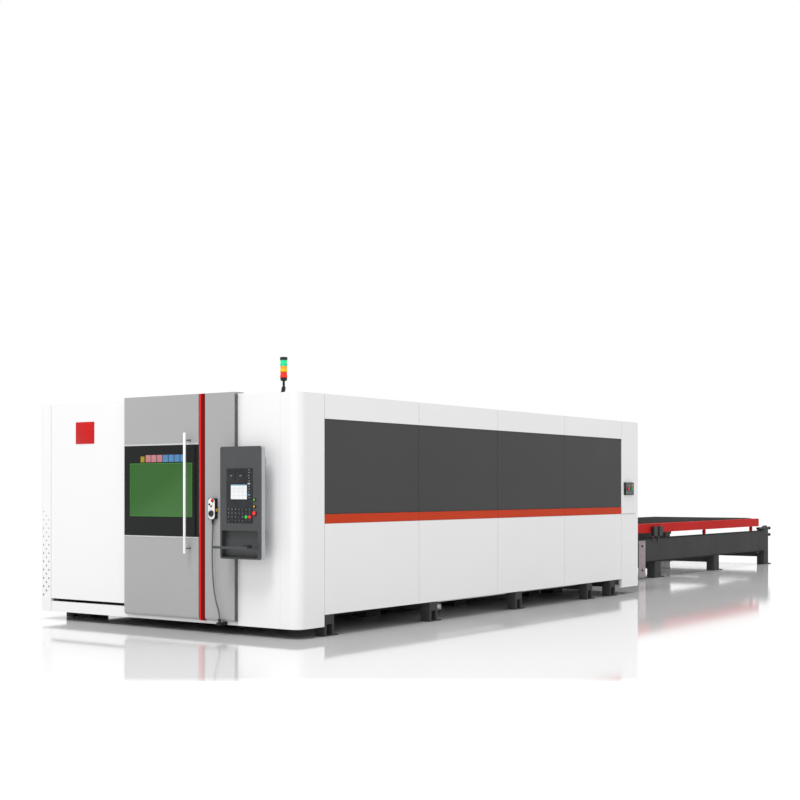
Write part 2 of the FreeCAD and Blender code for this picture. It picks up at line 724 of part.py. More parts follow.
def front_wall():
    """Left panel, sill, header over the doorway, and the panels right of the doorway."""
    wall = (0, c.pan_depth)
    gap = c.seam
    subpart(
        "front_panels",
        pan((-front_edge + gap, doorway_left - gap), wall, (c.slot_top, c.cabin_top), "+y"),
        pan((-front_edge + gap, fixed_right - gap), wall, (c.skirt_bottom, c.slot_bottom), "+y"),
        pan((doorway_left, doorway_right), wall, (doorway_top, c.cabin_top), "+y"),
        pan((doorway_right + gap, fixed_right - gap), wall,
            (c.slot_bottom + gap, c.cabin_top), "+y"),
        pan((fixed_right, front_edge - gap), wall, (c.skirt_bottom, c.cabin_top), "+y"))


def door_profile(back):
    """Side view of a grey front panel: flat face, bent bottom edge and a cap over the wall."""
    face = -c.door_face
    return [(back, c.door_bottom), (face, c.door_bottom, c.door_bend), (face, door_top),
            (cap_back, door_top), (cap_back, door_top - c.door_skin),
            (back, door_top - c.door_skin)]


def fixed_front():
    """Grey fixed panel and the rounded red strip between it and the door."""
    gap = c.door_joint / 2
    body = body_at((strip_right + gap, 0, 0))
    pad(body, outline(body, "YZ_Plane", door_profile(Size(0))), c.fixed_width - gap)
    subpart("fixed_front_panel", body)
    strip = body_at((0, 0, c.door_bottom))
    bulge = c.strip_width / 4
    left, right = door_right + c.door_joint, strip_right
    pad(strip, outline(strip, "XY_Plane", [
        (left, Size(0)), (left, -c.door_face, bulge), (right, -c.door_face, bulge),
        (right, Size(0))]), door_top - c.door_bottom)
    subpart("red_strip", strip)


def door_track():
    """Angle rail behind the wall's top that the door's rollers run on."""
    body = body_at((-front_edge + c.seam, 0, 0))
    near, far = c.pan_depth, c.pan_depth + c.track_width
    top, sheet_ = track_floor, c.track_sheet
    pad(body, outline(body, "YZ_Plane", [
        (near, rail_bottom), (near + sheet_, rail_bottom),
        (near + sheet_, top - sheet_), (far, top - sheet_), (far, top), (near, top)]),
        fixed_right + front_edge - c.seam)
    subpart("door_rail", body)


def side_walls():
    """Rows of panels on both sides: lower panels, stripe, dark windows, headers."""
    rows = {
        "side_lower_panels": (c.side_bottom, c.stripe_bottom, 0),
        "side_stripes": (c.stripe_bottom, c.stripe_top, 0),
        "side_windows": (c.stripe_top, window_top, c.window_inset),
        "side_headers": (window_top, c.cabin_top, 0),
    }
    for name, (bottom, top, inset) in rows.items():
        pieces = []
        for number in BAYS:
            start = c.corner_side + bay * number
            along = (start + c.seam, start + bay)
            up = (bottom, top - c.seam / 2) if name != "side_headers" else (bottom, top)
            outer = half - inset
            pieces.append(pan((half - c.pan_depth, outer), along, up, "-x"))
            pieces.append(pan((-outer, -(half - c.pan_depth)), along, up, "+x"))
        subpart(name, *pieces)


def rear_walls():
    """Rear columns' side panels, and the rear wall around the pallets' doorway."""
    inner = half - c.pan_depth
    gap = c.seam
    sides = []
    shuttle_left = table_left - c.shuttle_gap_left
    shuttle_right = table_right + c.shuttle_gap_right
    for bottom, top in ((c.skirt_bottom, c.rear_seam - gap), (c.rear_seam, c.cabin_top)):
        along = (side_end + gap, c.cabin_length)
        sides.append(pan((inner, half), along, (bottom, top), "-x"))
        sides.append(pan((-half, -inner), along, (bottom, top), "+x"))
    wall = (c.cabin_length - c.pan_depth, c.cabin_length)
    doorway = (shuttle_left - gap, shuttle_right + gap)
    subpart(
        "rear_panels", *sides,
        pan((-inner, shuttle_left - gap), wall, (c.skirt_bottom, c.cabin_top), "-y"),
        pan((shuttle_right + gap, inner), wall, (c.skirt_bottom, c.cabin_top), "-y"),
        pan(doorway, wall, (c.shuttle_top, c.cabin_top), "-y"),
        pan(doorway, wall, (c.skirt_bottom, c.shuttle_bottom), "-y"))


def roof():
    """Roof panels on the frame's top rails."""
    inner = half - c.pan_depth
    first = frame_front
    pitch = (c.cabin_length - c.pan_depth - first) / (c.bay_count + 1)
    panels = []
    for number in range(int(c.bay_count) + 1):
        start = first + pitch * number
        panels.append(pan((-inner, inner), (start, start + pitch - c.seam),
                          (c.cabin_top - c.pan_depth, c.cabin_top), "-z"))
    subpart("roof_panels", *panels)


# ---------------------------------------------------------------- operator's door

def operator_door():
    """Sliding door: shell with a recess for the black band, its hangers and guides."""
    shell = body_at((door_left, 0, 0))
    pad(shell, outline(shell, "YZ_Plane", door_profile(-c.door_clear)), c.door_width)
    band = pocket(shell, outline(shell, "XZ_Plane", plate_outline(
        (-c.seam, c.band_bottom), (c.door_width + c.seam, c.band_top)), "Band"),
        c.band_sheet, False)
    band.Profile[0].AttachmentOffset = FreeCAD.Placement(FreeCAD.Vector(), FreeCAD.Rotation())
    band.Profile[0].setExpression("AttachmentOffset.Base.z", text_of(c.door_face))
    window = pocket(shell, outline(shell, "XZ_Plane", plate_outline(
        (c.glass_left + c.glass_lip, c.glass_bottom + c.glass_lip),
        (c.glass_left + glass_width - c.glass_lip, c.glass_top - c.glass_lip)), "Window"),
        c.door_face)
    window.Profile[0].setExpression("AttachmentOffset.Base.z", text_of(c.door_face))
    pieces = [shell]
    for across in (door_left + c.roller_inset, door_right - c.roller_inset):
        wide = c.hanger_width / 2
        pieces.append(span((across - wide, across + wide), (hanger_near, cap_back),
                           (roller_height - c.hanger_drop, door_top - c.door_skin)))
        pieces.append(rod(c.axle_radius, hanger_near - roller_near,
                          (across, roller_near, roller_height), AROUND_Y))
        wide = c.guide_width / 2
        pieces.append(span((across - wide, across + wide), (-c.door_clear, c.pan_depth / 2),
                           (c.slot_bottom + c.seam, c.slot_top - c.seam)))
    subpart("operator_door", *pieces)
    for name, across in (("door_roller_left", door_left + c.roller_inset),
                         ("door_roller_right", door_right - c.roller_inset)):
        at = (across, roller_near + c.roller_gap, roller_height)
        subpart(name, cut(prism(c.roller_sides, c.roller_radius, c.roller_width, at, AROUND_Y),
                          rod(c.axle_radius + c.axle_gap, c.roller_width, at, AROUND_Y)))


def door_window():
    """Black band across the door with the laser glass in it."""
    face, sheet_ = -c.door_face, c.band_sheet
    glass = ((door_left + c.glass_left, door_left + c.glass_left + glass_width),
             (face, face + sheet_), (c.glass_bottom, c.glass_top))
    subpart("door_band", cut(
        span((door_left, door_right), (face, face + sheet_), (c.band_bottom, c.band_top)),
        span(*glass)))
    subpart("laser_glass", span(glass[0], (face + sheet_ / 4, face + sheet_), glass[2]))


def door_handle():
    """Long tube in front of the door on two standoffs."""
    across = door_right - c.handle_inset
    axis = -c.door_face - c.handle_reach
    tube = rod(c.handle_radius, c.handle_top - c.handle_bottom, (across, axis, c.handle_bottom))
    posts = [rod(c.post_radius, c.handle_reach, (across, -c.door_face, height), TOWARDS_FRONT)
             for height in (c.post_low, c.post_high)]
    subpart("door_handle", fuse(tube, *posts))


# ---------------------------------------------------------------- console

def console():
    """Operator's console: light shell on a neck, dark face, niche with a folding tray."""
    right = console_left + c.console_width
    back = -c.console_face + c.console_depth
    niche = (console_left + c.niche_left, niche_bottom)
    niche_far = (niche[0] + c.niche_width, niche_top)
    shell = body_at((0, -c.console_face, 0))
    pad(shell, outline(shell, "XZ_Plane", plate_outline(
        (console_left, c.console_bottom), (right, console_top), c.console_round)),
        c.console_depth, True)
    edge = c.shell_edge
    pocket(shell, outline(shell, "XZ_Plane", plate_outline(
        (console_left + edge, c.console_bottom + edge), (right - edge, console_top - edge),
        c.console_round - edge), "FaceSeat"), c.face_sheet)
    pocket(shell, outline(shell, "XZ_Plane", plate_outline(niche, niche_far), "Niche"),
           c.niche_depth)
    neck = span((console_left + c.neck_inset, right - c.neck_inset), (back, 0),
                (niche_top, console_top - c.neck_inset))
    middle = console_left + c.button_across
    buttons = (lamp_high, lamp_low, stop_low)
    subpart("console_shell", cut(fuse(shell, neck), *[
        stem_hole((middle, -c.console_face, height), c.stem_hole) for height in buttons]))
    face = body_at((0, -c.console_face, 0))
    pad(face, outline(face, "XZ_Plane", plate_outline(
        (console_left + edge, c.console_bottom + edge), (right - edge, console_top - edge),
        c.console_round - edge)), c.face_sheet, True)
    pocket(face, outline(face, "XZ_Plane", plate_outline(niche, niche_far), "Niche"),
           c.face_sheet)
    subpart("console_face", cut(face, *[
        stem_hole((middle, -c.console_face, height), c.face_sheet) for height in buttons]))


def keypad():
    """Black panel with its keys, and the screen set in it."""
    left, face = console_left + c.pad_left, -c.console_face
    panel = span((left, left + c.pad_width), (face - c.pad_sheet, face),
                 (pad_bottom, pad_top))
    screen = ((left + c.screen_left, left + c.screen_left + c.screen_width),
              (face - c.pad_sheet, face), (screen_bottom, screen_top))
    keys = []
    for row_ in range(int(c.key_rows)):
        for column in range(int(c.key_columns)):
            keys.append(box(
                (c.key_pitch_x - c.key_gap, c.key_rise, c.key_pitch_z - c.key_gap),
                (left + c.key_left + c.key_pitch_x * column,
                 face - c.pad_sheet - c.key_rise,
                 pad_bottom + c.key_low + c.key_pitch_z * row_)))
    subpart("console_keypad", fuse(cut(panel, span(*screen)), *keys))
    subpart("console_screen", span(screen[0], (face - c.pad_sheet / 2, face), screen[2]))


def stem(width, at, low, high):
    """Square bar centred across and in height on a place, from `low` to `high` behind it."""
    across, face, height = at
    wide = width / 2
    return span((across - wide, across + wide), (face + low, face + high),
                (height - wide, height + wide))


def stem_hole(at, depth, width=c.stem_width):
    """Square hole behind a place, with room for a button's stem."""
    return stem(width + 2 * c.stem_gap, at, Size(0), depth)


def push_button(name, radius, travel, at, width=c.stem_width):
    """Round cap on a square stem. It stands off its seat by the travel and the clearance."""
    across, face, height = at
    gap = travel + c.stem_gap
    subpart(name, fuse(
        prism(c.cap_sides, radius, radius / 2, (across, face - gap, height), TOWARDS_FRONT),
        stem(width, at, -gap, 2 * travel)))


def console_buttons():
    """Green and yellow buttons and the mushroom-headed stop."""
    across = console_left + c.button_across
    face = -c.console_face
    push_button("start_button", c.lamp_radius, c.push_travel, (across, face, lamp_high))
    push_button("pause_button", c.lamp_radius, c.push_travel, (across, face, lamp_low))
    push_button("stop_button", c.stop_radius, c.stop_travel, (across, face, stop_low))


def console_tray():
    """Tray that folds up into the niche, on two pins, with the pointing device on it."""
    left = console_left + c.niche_left + c.seam
    right = left + c.niche_width - 2 * c.seam
    front, hinge = -c.tray_reach, -c.tray_hinge
    axis = tray_height - c.tray_sheet / 2
    plate = span((left, right), (front, hinge - c.pin_radius), (tray_height - c.tray_sheet,
                                                                tray_height))
    lip = span((left, right), (front, front + c.skin), (tray_height, tray_height + c.tray_lip))
    knuckle = rod(c.tray_sheet / 2, right - left, (left, hinge, axis), AROUND_X)
    reach = c.seam - c.running_gap
    pins = rod(c.pin_radius, right - left + 2 * reach, (left - reach, hinge, axis), AROUND_X)
    web = span((left, right), (hinge - c.tray_sheet, hinge), (tray_height - c.tray_sheet,
                                                             tray_height))
    subpart("folding_tray", fuse(plate, lip, knuckle, web, pins))
    body = body_at((right - c.mouse_width - c.mouse_inset, front + c.mouse_inset, tray_height))
    pad(body, outline(body, "XY_Plane", plate_outline(
        (Size(0), Size(0)), (c.mouse_width, c.mouse_length), c.mouse_round)), c.mouse_height)
    subpart("pointing_device", body)


# ---------------------------------------------------------------- hand control

def pendant():
    """Hand control on the grey panel, with a stop button, a side key and a dial."""
    right = pendant_left + c.pendant_width
    back = -c.door_face
    face = back - c.pendant_depth
    middle = pendant_middle
    body = body_at((0, back, 0))
    pad(body, outline(body, "XZ_Plane", plate_outline(
        (pendant_left, c.pendant_bottom), (right, pendant_top), c.pendant_round)),
        c.pendant_depth)
    gap = c.stem_gap
    dial = (middle, face, dial_height)
    stop = (middle + c.pendant_stop_shift, face, pendant_stop_height)
    narrow = c.pendant_stop_radius
    across = (right - c.pendant_key_depth, right + gap)
    deep = (face + c.pendant_key_depth, face + c.pendant_key_depth + c.pendant_key_width)
    up = (pendant_key_low, pendant_key_high)
    subpart("hand_control", cut(
        body,
        stem_hole(stop, c.pendant_bore, narrow),
        rod(c.dial_stem + gap, c.pendant_bore, dial, AROUND_Y),
        span(across, (deep[0] - gap, deep[1] + gap), (up[0] - gap, up[1] + gap))))
    push_button("hand_stop_button", c.pendant_stop_radius, c.push_travel, stop, narrow)
    dial_face = face - gap - c.dial_depth
    subpart("hand_dial", fuse(
        prism(c.dial_grips, c.dial_radius, c.dial_depth, (middle, face - gap, dial_height),
              TOWARDS_FRONT),
        prism(c.dial_flats, c.dial_stem, c.dial_stem, (middle, face + c.dial_depth,
                                                          dial_height), TOWARDS_FRONT),
        prism(c.dial_flats, c.dial_knob, 2 * c.dial_knob,
              (middle + c.dial_stem, dial_face + gap, dial_height), TOWARDS_FRONT)))
    subpart("hand_key", span((across[0] + c.push_travel, right + c.pendant_key_out), deep, up))


# The cable's route: across from the hand control's middle, from the wall's face, and up.
CABLE = [(0, -70, 1130), (0, -70, 1060), (10, -92, 800), (24, -94, 520), (58, -92, 330),
         (108, -90, 215), (108, -90, 140)]


def cable_path(points):
    """Straight runs joined by tangent arcs, each as large as its two runs allow."""
    edges, radii, start = [], [], points[0]
    for before, at, after in zip(points, points[1:], points[2:]):
        into, out = at - before, after - at
        turn = into.getAngle(out)
        reach = 0.45 * min(into.Length, out.Length)
        first = at - into.normalize() * reach
        last = at + out.normalize() * reach
        radius = reach / math.tan(turn / 2)
        radii.append(radius)
        to_centre = (last - first).cross(into.cross(out)).normalize()
        centre = first + into.cross(out).cross(into).normalize() * radius
        bulge = centre + (at - centre).normalize() * radius
        edges.append(Part.LineSegment(start, first).toShape())
        edges.append(Part.Arc(first, bulge, last).toShape())
        start = last
    edges.append(Part.LineSegment(start, points[-1]).toShape())
    return Part.Wire(edges), radii


def cable():
    """Cable from the hand control down to its gland."""
    middle = float(pendant_middle)
    points = [FreeCAD.Vector(middle + x, float(c.front_y) + y, z) for x, y, z in CABLE]
    wire, radii = cable_path(points)
    ring = Part.Wire(Part.Circle(points[0], FreeCAD.Vector(0, 0, 1),
                                 float(c.cable_radius)).toShape())
    tube = wire.makePipeShell([ring], True, False)
    piece = doc.addObject("Part::Feature", "Cable")
    piece.Shape = tube
    piece.Label = "hand_control_cable"
    PARTS.append(piece)
    print("cable length", round(wire.Length, 1), "radii", [round(r) for r in radii],
          "volume ratio", round(tube.Volume / (math.pi * float(c.cable_radius) ** 2
                                               * wire.Length), 4))


def gland():
    """Block on the sill with a collar that the cable enters from above."""
    low = c.gland_top - c.gland_height - c.collar_height
    across = pendant_middle + c.gland_shift
    subpart("cable_gland", fuse(
        span((across - c.gland_width / 2, across + c.gland_width / 2),
             (-c.gland_reach - c.gland_width / 2, 0), (low, low + c.gland_height)),
        rod(c.collar_radius, c.collar_height,
            (across, -c.gland_reach, low + c.gland_height))))


# ---------------------------------------------------------------- signal tower, station

def signal_tower():
    """Three lenses on a pole, on a bent foot."""
    at = (half - c.tower_inset, c.tower_back)
    foot = span((at[0] - c.tower_foot_reach, at[0] + c.lens_radius / 2),
                (at[1] - c.lens_radius / 2, at[1] + c.lens_radius / 2),
                (c.cabin_top, c.cabin_top + 2 * c.skin))
    pole_top = c.cabin_top + c.tower_pole_height
    pole = rod(c.tower_pole_radius, c.tower_pole_height, at + (c.cabin_top,))
    base = prism(c.tower_ribs, c.lens_radius, c.tower_base, at + (pole_top,))
    base_top = pole_top + c.tower_base
    top = base_top + c.lens_height * c.lens_count
    cap = prism(c.tower_ribs, c.lens_radius, c.tower_cap, at + (top,))
    subpart("tower_body", fuse(foot, pole, base), cap)
    lenses = []
    for number in range(int(c.lens_count)):
        low = base_top + c.lens_height * number
        lenses.append(prism(c.tower_ribs, c.lens_radius, c.lens_height, at + (low,)))
    subpart("tower_lenses", *lenses)


def side_station():
    """Small control box on the rear column with two buttons."""
    front = side_end + c.station_inset
    middle = front + c.station_length / 2
    height = (c.station_bottom + c.station_top) / 2
    face = half + c.station_depth
    gap = c.push_travel + c.stem_gap
    wide = c.stem_width / 2
    holes = []
    for side, name in ((-0.5, "station_stop_button"), (0.5, "station_start_button")):
        back = middle + c.station_button_pitch * side
        hole = wide + c.stem_gap
        holes.append(span((face - c.station_hole, face), (back - hole, back + hole),
                          (height - hole, height + hole)))
        subpart(name, fuse(
            prism(c.cap_sides, c.station_button_radius, c.station_cap,
                  (face + gap, back, height), AROUND_X),
            span((face - 2 * c.push_travel, face + gap), (back - wide, back + wide),
                 (height - wide, height + wide))))
    subpart("side_station", cut(
        span((half, face), (front, front + c.station_length),
             (c.station_bottom, c.station_top)), *holes))


# ---------------------------------------------------------------- bed and gantry

def bed():
    """Bed: side beams with inner tracks, uprights, lower beams, cross tubes, lift housings."""
    pieces = []
    rows = ((bed_outer_left, bed_inner_left, bed_inner_left, table_left + c.table_beam),
            (bed_inner_right, bed_outer_right, table_right - c.table_beam, bed_inner_right))
    for low, high, track_low, track_high in rows:
        along = (c.bed_front, bed_back)
        pieces.append(span((low, high), along, (c.bed_beam_bottom, c.bed_beam_top)))
        pieces.append(span((low, high), along, (c.runner_bottom, c.runner_top)))
        pieces.append(span((track_low, track_high), (c.bed_front, table_front),
                           (c.table_beam_top - c.ledge / 2, c.table_beam_top)))
        for start in STATIONS:
            pieces.append(span((low, high), (start, start + c.upright_length),
                               (c.runner_top, c.bed_beam_bottom)))
    for start in STATIONS:
        pieces.append(span((bed_inner_left, bed_inner_right),
                           (start, start + c.runner_top - c.runner_bottom),
                           (c.runner_bottom, c.runner_top)))
        for low, high in ((-half + pedestal_depth, bed_outer_left),
                          (bed_outer_right, half - pedestal_depth)):
            pieces.append(span((low, high), (start + c.outrigger, start + 2 * c.outrigger),
                               (c.arch_height + c.seam, c.runner_top)))
    subpart("machine_bed", *pieces, *lift_housings())


def pedestals():
    """Arched feet under the cabin's sides and pads under the bed."""
    pieces = []
    depth = pedestal_depth
    for side in (-1, 1):
        for start in STATIONS:
            if side > 0:
                body = body_at((half - depth, start, 0))
            else:
                body = body_at((-half, start, 0))
            wide, leg, foot = c.pedestal_length, c.arch_leg, c.foot_plate
            pad(body, outline(body, "YZ_Plane", [
                (Size(0), Size(0)), (wide + c.foot_plate_reach / 2, Size(0)),
                (wide + c.foot_plate_reach / 2, foot), (wide, foot),
                (wide, c.side_bottom), (Size(0), c.side_bottom)]), depth)
            pocket(body, outline(body, "YZ_Plane", plate_outline(
                (leg, foot), (wide - leg, c.arch_height)), "Arch"), depth, True)
            pieces.append(body)
            low = bed_inner_right if side > 0 else bed_outer_left
            pieces.append(span((low, low + c.bed_beam_width), (start, start + c.upright_length),
                               (0, c.runner_bottom)))
    subpart("pedestals", *pieces)


def gantry():
    """Gantry across the bed, with its end carriages, cross carriage, head slide and head."""
    along = (c.bed_front, bed_back)
    rails = []
    for low in (bed_outer_left, bed_inner_right):
        middle = low + c.bed_beam_width / 2
        rails.append(span((middle - c.rail_width / 2, middle + c.rail_width / 2), along,
                          (c.bed_beam_top, c.bed_beam_top + c.rail_height)))
        rails.append(span((low, low + c.rack_width), along,
                          (c.bed_beam_top, c.bed_beam_top + c.rail_height)))
    subpart("gantry_rails", *rails)
    rail_top = c.bed_beam_top + c.rail_height
    base = rail_top + c.slide_gap
    top = base + c.carriage_height
    start = c.gantry_home + c.gantry_depth / 2 - c.carriage_length / 2
    carriages = []
    for low in (bed_outer_left, bed_inner_right):
        block = span((low, low + c.bed_beam_width), (start, start + c.carriage_length),
                     (base, top))
        motor = span((low + c.gantry_motor_inset,
                      low + c.bed_beam_width - c.gantry_motor_inset),
                     (start, c.gantry_home - c.seam), (top, top + c.gantry_motor_height))
        carriages += [block, motor]
    subpart("gantry_carriages", *carriages)
    back = c.gantry_home + c.gantry_depth
    beam = body_at((bed_outer_left, 0, 0))
    chamfer = c.gantry_depth / 5
    pad(beam, outline(beam, "YZ_Plane", [
        (c.gantry_home, top), (back, top), (back, top + c.gantry_height - 2 * chamfer),
        (back - chamfer, top + c.gantry_height), (c.gantry_home, top + c.gantry_height)]),
        bed_outer_right - bed_outer_left)
    reach = (bed_outer_left + c.bed_beam_width, bed_outer_right - c.bed_beam_width)
    cross_rails = [span(reach, (c.gantry_home - c.cross_rail, c.gantry_home),
                        (low, low + c.cross_rail))
                   for low in (top + c.cross_rail, top + c.gantry_height - 2 * c.cross_rail)]
    subpart("gantry_beam", beam, *cross_rails)
    plate_back = c.gantry_home - c.cross_rail - c.slide_gap
    plate_front = plate_back - c.cross_plate
    left, right = cross_home - c.cross_width / 2, cross_home + c.cross_width / 2
    rail, motor = c.head_rail / 2, c.head_motor_width / 2
    head_rails = [span((cross_home + shift - rail, cross_home + shift + rail),
                       (plate_front - c.head_rail, plate_front), (top, top + c.cross_height))
                  for shift in (-c.head_rail_pitch / 2, c.head_rail_pitch / 2)]
    plate_top = top + c.cross_height
    subpart("cross_carriage",
            span((left, right), (plate_front, plate_back), (top, plate_top)),
            span((cross_home - motor, cross_home + motor), (plate_front, plate_back),
                 (plate_top, plate_top + c.head_motor_height)), *head_rails)
    slide_back = plate_front - c.head_rail - c.slide_gap
    slide_front = slide_back - c.head_plate
    low = c.nozzle_tip + c.head_slide_low
    subpart("head_slide", fuse(
        span((cross_home - c.head_width / 2, cross_home + c.head_width / 2),
             (slide_front, slide_back), (low, low + c.head_slide_height)),
        span((cross_home - c.head_half, cross_home + c.head_half),
             (slide_front - c.head_clamp, slide_front),
             (low + c.head_clamp, low + 3 * c.head_clamp))))
    axis = slide_front - c.head_clamp - c.head_half
    tip = c.nozzle_tip
    head = body_at((cross_home, axis, tip))
    neck = c.head_neck_radius
    profile = outline(head, "XZ_Plane", [
        (Size(0), Size(0)), (c.nozzle_radius, Size(0)), (c.nozzle_radius * 4, c.nozzle_length),
        (neck, c.nozzle_length), (neck, c.head_shoulder), (Size(0), c.head_shoulder)])
    turn = head.newObject("PartDesign::Revolution", "Turned")
    turn.Profile = profile
    turn.ReferenceAxis = (profile, ["V_Axis"])
    turn.Angle = 360
    head.Tip = turn
    housing = square_bar(2 * c.head_half, (cross_home, axis), tip + c.head_shoulder,
                         tip + c.head_body)
    fibre = prism(c.cap_sides, c.fibre_radius, c.head_top - c.head_body,
                  (cross_home, axis, tip + c.head_body))
    subpart("cutting_head", fuse(head, housing, fibre))


def cabinets():
    """Laser source and electrical cabinet in the bay beside the bed, on its outriggers."""
    across = (bed_outer_right + c.cabinet_gap,
              half - c.pan_depth - c.frame_tube - c.cabinet_gap)
    gap, middle = c.cabinet_gap / 2, pedestal_depth / 2
    for name, station, high in (("laser_source", 1, c.source_high),
                                ("electrical_cabinet", 2, c.cabinet_high)):
        along = (STATIONS[station] + middle + gap, STATIONS[station + 1] + middle - gap)
        subpart(name, span(across, along, (c.runner_top, high)))


# ---------------------------------------------------------------- pallets

# Wheels along a pallet, as shares of its length.
WHEELS = (0.045, 0.27, 0.6, 0.955)


def pallet(prefix, right, left, rail_width, front, drop):
    """Frame of two side rails, two end rails and ties, on wheels, with its slats."""
    bottom, top = c.pallet_rail_bottom - drop, c.pallet_rail_top - drop
    back = front + c.pallet_length
    inner_left, inner_right = left + rail_width, right - rail_width
    frame = [span((left, inner_left), (front, back), (bottom, top)),
             span((inner_right, right), (front, back), (bottom, top))]
    for start in (front, back - c.pallet_end):
        frame.append(span((inner_left, inner_right), (start, start + c.pallet_end),
                          (bottom, top)))
    for number in range(1, int(c.pallet_ties) + 1):
        start = front + c.pallet_length * number / (c.pallet_ties + 1)
        frame.append(span((inner_left, inner_right), (start, start + c.pallet_end),
                          (bottom, bottom + c.pallet_tie_height)))
    track = c.table_beam_top - drop
    axis = track + c.wheel_radius + c.running_gap
    edge, deep = c.wheel_width / 2, c.fork_width / 2
    for share in WHEELS:
        along = front + c.pallet_length * share
        for low in (left, inner_right):
            middle = low + rail_width / 2
            frame.append(prism(c.wheel_sides, c.wheel_radius, c.wheel_width,
                               (middle - edge, along, axis), AROUND_X))
            for side in (middle - edge - c.fork_sheet, middle + edge):
                frame.append(span((side, side + c.fork_sheet), (along - deep, along + deep),
                                  (axis - deep, bottom)))
    subpart(prefix + "_pallet_frame", *frame)
    slat_top = top + c.slat_rise
    count = int((float(c.pallet_length) - 2 * float(c.pallet_end)) / float(c.slat_pitch))
    slats = [span((inner_left, inner_right),
                  (front + c.pallet_end + c.slat_pitch * (number + 0.5),
                   front + c.pallet_end + c.slat_pitch * (number + 0.5) + c.slat_sheet),
                  (slat_top - c.slat_height, slat_top)) for number in range(count)]
    subpart(prefix + "_pallet_slats", *slats)


def pallets():
    """Upper pallet outside on the changer, lower pallet inside on the lift."""
    pallet("upper", table_right, table_left, c.table_beam, pallet_front, Size(0))
    pallet("lower", lower_right, lower_left, c.lower_rail_width, c.pallet_inside, c.pallet_drop)


def lift_places():
    """Middles of the lift's posts, behind two of the bed's cross tubes."""
    behind = c.runner_top - c.runner_bottom + c.lift_housing / 2
    return [(low + c.lower_rail_width / 2, STATIONS[number] + behind)
            for low in (lower_left, lower_right - c.lower_rail_width)
            for number in (1, 3)]


def lift_housings():
    """Housings on the floor that the lift's posts slide in."""
    high = lift_rail_top - c.ledge - 2 * c.skin
    return [cut(square_bar(c.lift_housing, at, Size(0), high),
                square_bar(c.lift_post + 2 * c.stem_gap, at, c.runner_bottom, high))
            for at in lift_places()]


def lift():
    """Lift under the lower pallet: two rails, each on two posts."""
    low, high = lift_rail_top - c.ledge, lift_rail_top
    along = (c.pallet_inside - c.ledge, table_front - c.running_gap)
    foot = c.runner_bottom + c.seam
    rails = []
    for number, left in enumerate((lower_left, lower_right - c.lower_rail_width)):
        posts = [square_bar(c.lift_post, at, foot, low)
                 for at in lift_places()[2 * number:2 * number + 2]]
        rails.append(fuse(span((left, left + c.lower_rail_width), along, (low, high)), *posts))
    subpart("lift_rails", *rails)


def changer():
    """Pallet changer behind the cabin: beams on legs, with inner tracks and ties."""
    left, right, beam = table_left, table_right, c.table_beam
    inner = c.lower_gap + c.lower_rail_width
    frame = []
    for low, track in ((left, left + beam), (right - beam, right - beam - inner)):
        frame.append(span((low, low + beam), (table_front, LEGS[-1]),
                          (c.table_beam_bottom, c.table_beam_top)))
        frame.append(span((track, track + inner), (table_front, LEGS[-1]),
                          (lift_rail_top - c.ledge, lift_rail_top)))
    tie = c.table_leg_x - c.ledge / 2
    for start in LEGS:
        frame.append(span((left + c.table_leg_x, right - c.table_leg_x),
                          (start + c.ledge, start + c.ledge + tie),
                          (c.table_beam_bottom - tie, c.table_beam_bottom)))
    under = drive_back - c.gearbox / 2 - c.motor_length / 2
    frame.append(span((left, right), (under - c.ledge, under + c.ledge),
                      (c.table_beam_bottom - c.ledge, c.table_beam_bottom)))
    for start in LEGS:
        high = c.table_beam_top + c.stop_bar_sheet if start == LEGS[-1] else c.table_beam_bottom
        for low in (left, right - c.table_leg_x):
            along = (start, start + c.table_leg_y)
            frame.append(fuse(
                span((low, low + c.table_leg_x), along, (c.foot_plate, high)),
                span((low, low + c.table_leg_x), (start, along[1] + c.foot_plate_reach),
                     (Size(0), c.foot_plate))))
    subpart("changer_frame", *frame)


def end_stops():
    """Bars on the last legs, with end plates and rubber buffers behind them."""
    top, end = c.table_beam_top, LEGS[-1] + c.table_leg_y
    bar, sheet_ = c.stop_bar, c.stop_bar_sheet
    stops = []
    for low in (table_left + c.stop_bar_inset, table_right - c.stop_bar_inset - bar):
        across = (low, low + bar)
        stops.append(span(across, (LEGS[-1] - c.stop_bar_reach, end),
                          (top + sheet_, top + 2 * sheet_)))
        for height in (top + c.buffer_top, top - c.buffer_low):
            stops.append(prism(c.buffer_sides, c.buffer_radius, c.buffer_reach,
                               (low + bar / 2, end, height), AROUND_Y))
    subpart("end_stops", *stops)


def link_plates():
    """Zinc-plated plates on both sides of the changer."""
    front = table_front + c.link_start
    along, up = (front, front + c.link_length), (c.link_bottom, c.link_top)
    subpart("link_plates", *[span((low, low + c.link_sheet), along, up)
                             for low in (table_right, table_left - c.link_sheet)])


def sensor_housings():
    """Two housings on brackets beside the changer's beam."""
    near = table_right + c.bracket_sheet
    low = c.sensor_bottom
    pieces = []
    for number in range(2):
        start = table_front + c.sensor_start + c.sensor_pitch * number
        middle = start + c.sensor_length / 2
        wide = c.bracket_width / 2
        pieces.append(fuse(
            span((near, near + c.sensor_depth), (start, start + c.sensor_length),
                 (low, c.sensor_top)),
            span((table_right, near), (middle - wide, middle + wide),
                 (c.table_beam_top - c.bracket_drop, low + c.bracket_width))))
    subpart("sensor_housings", *pieces)


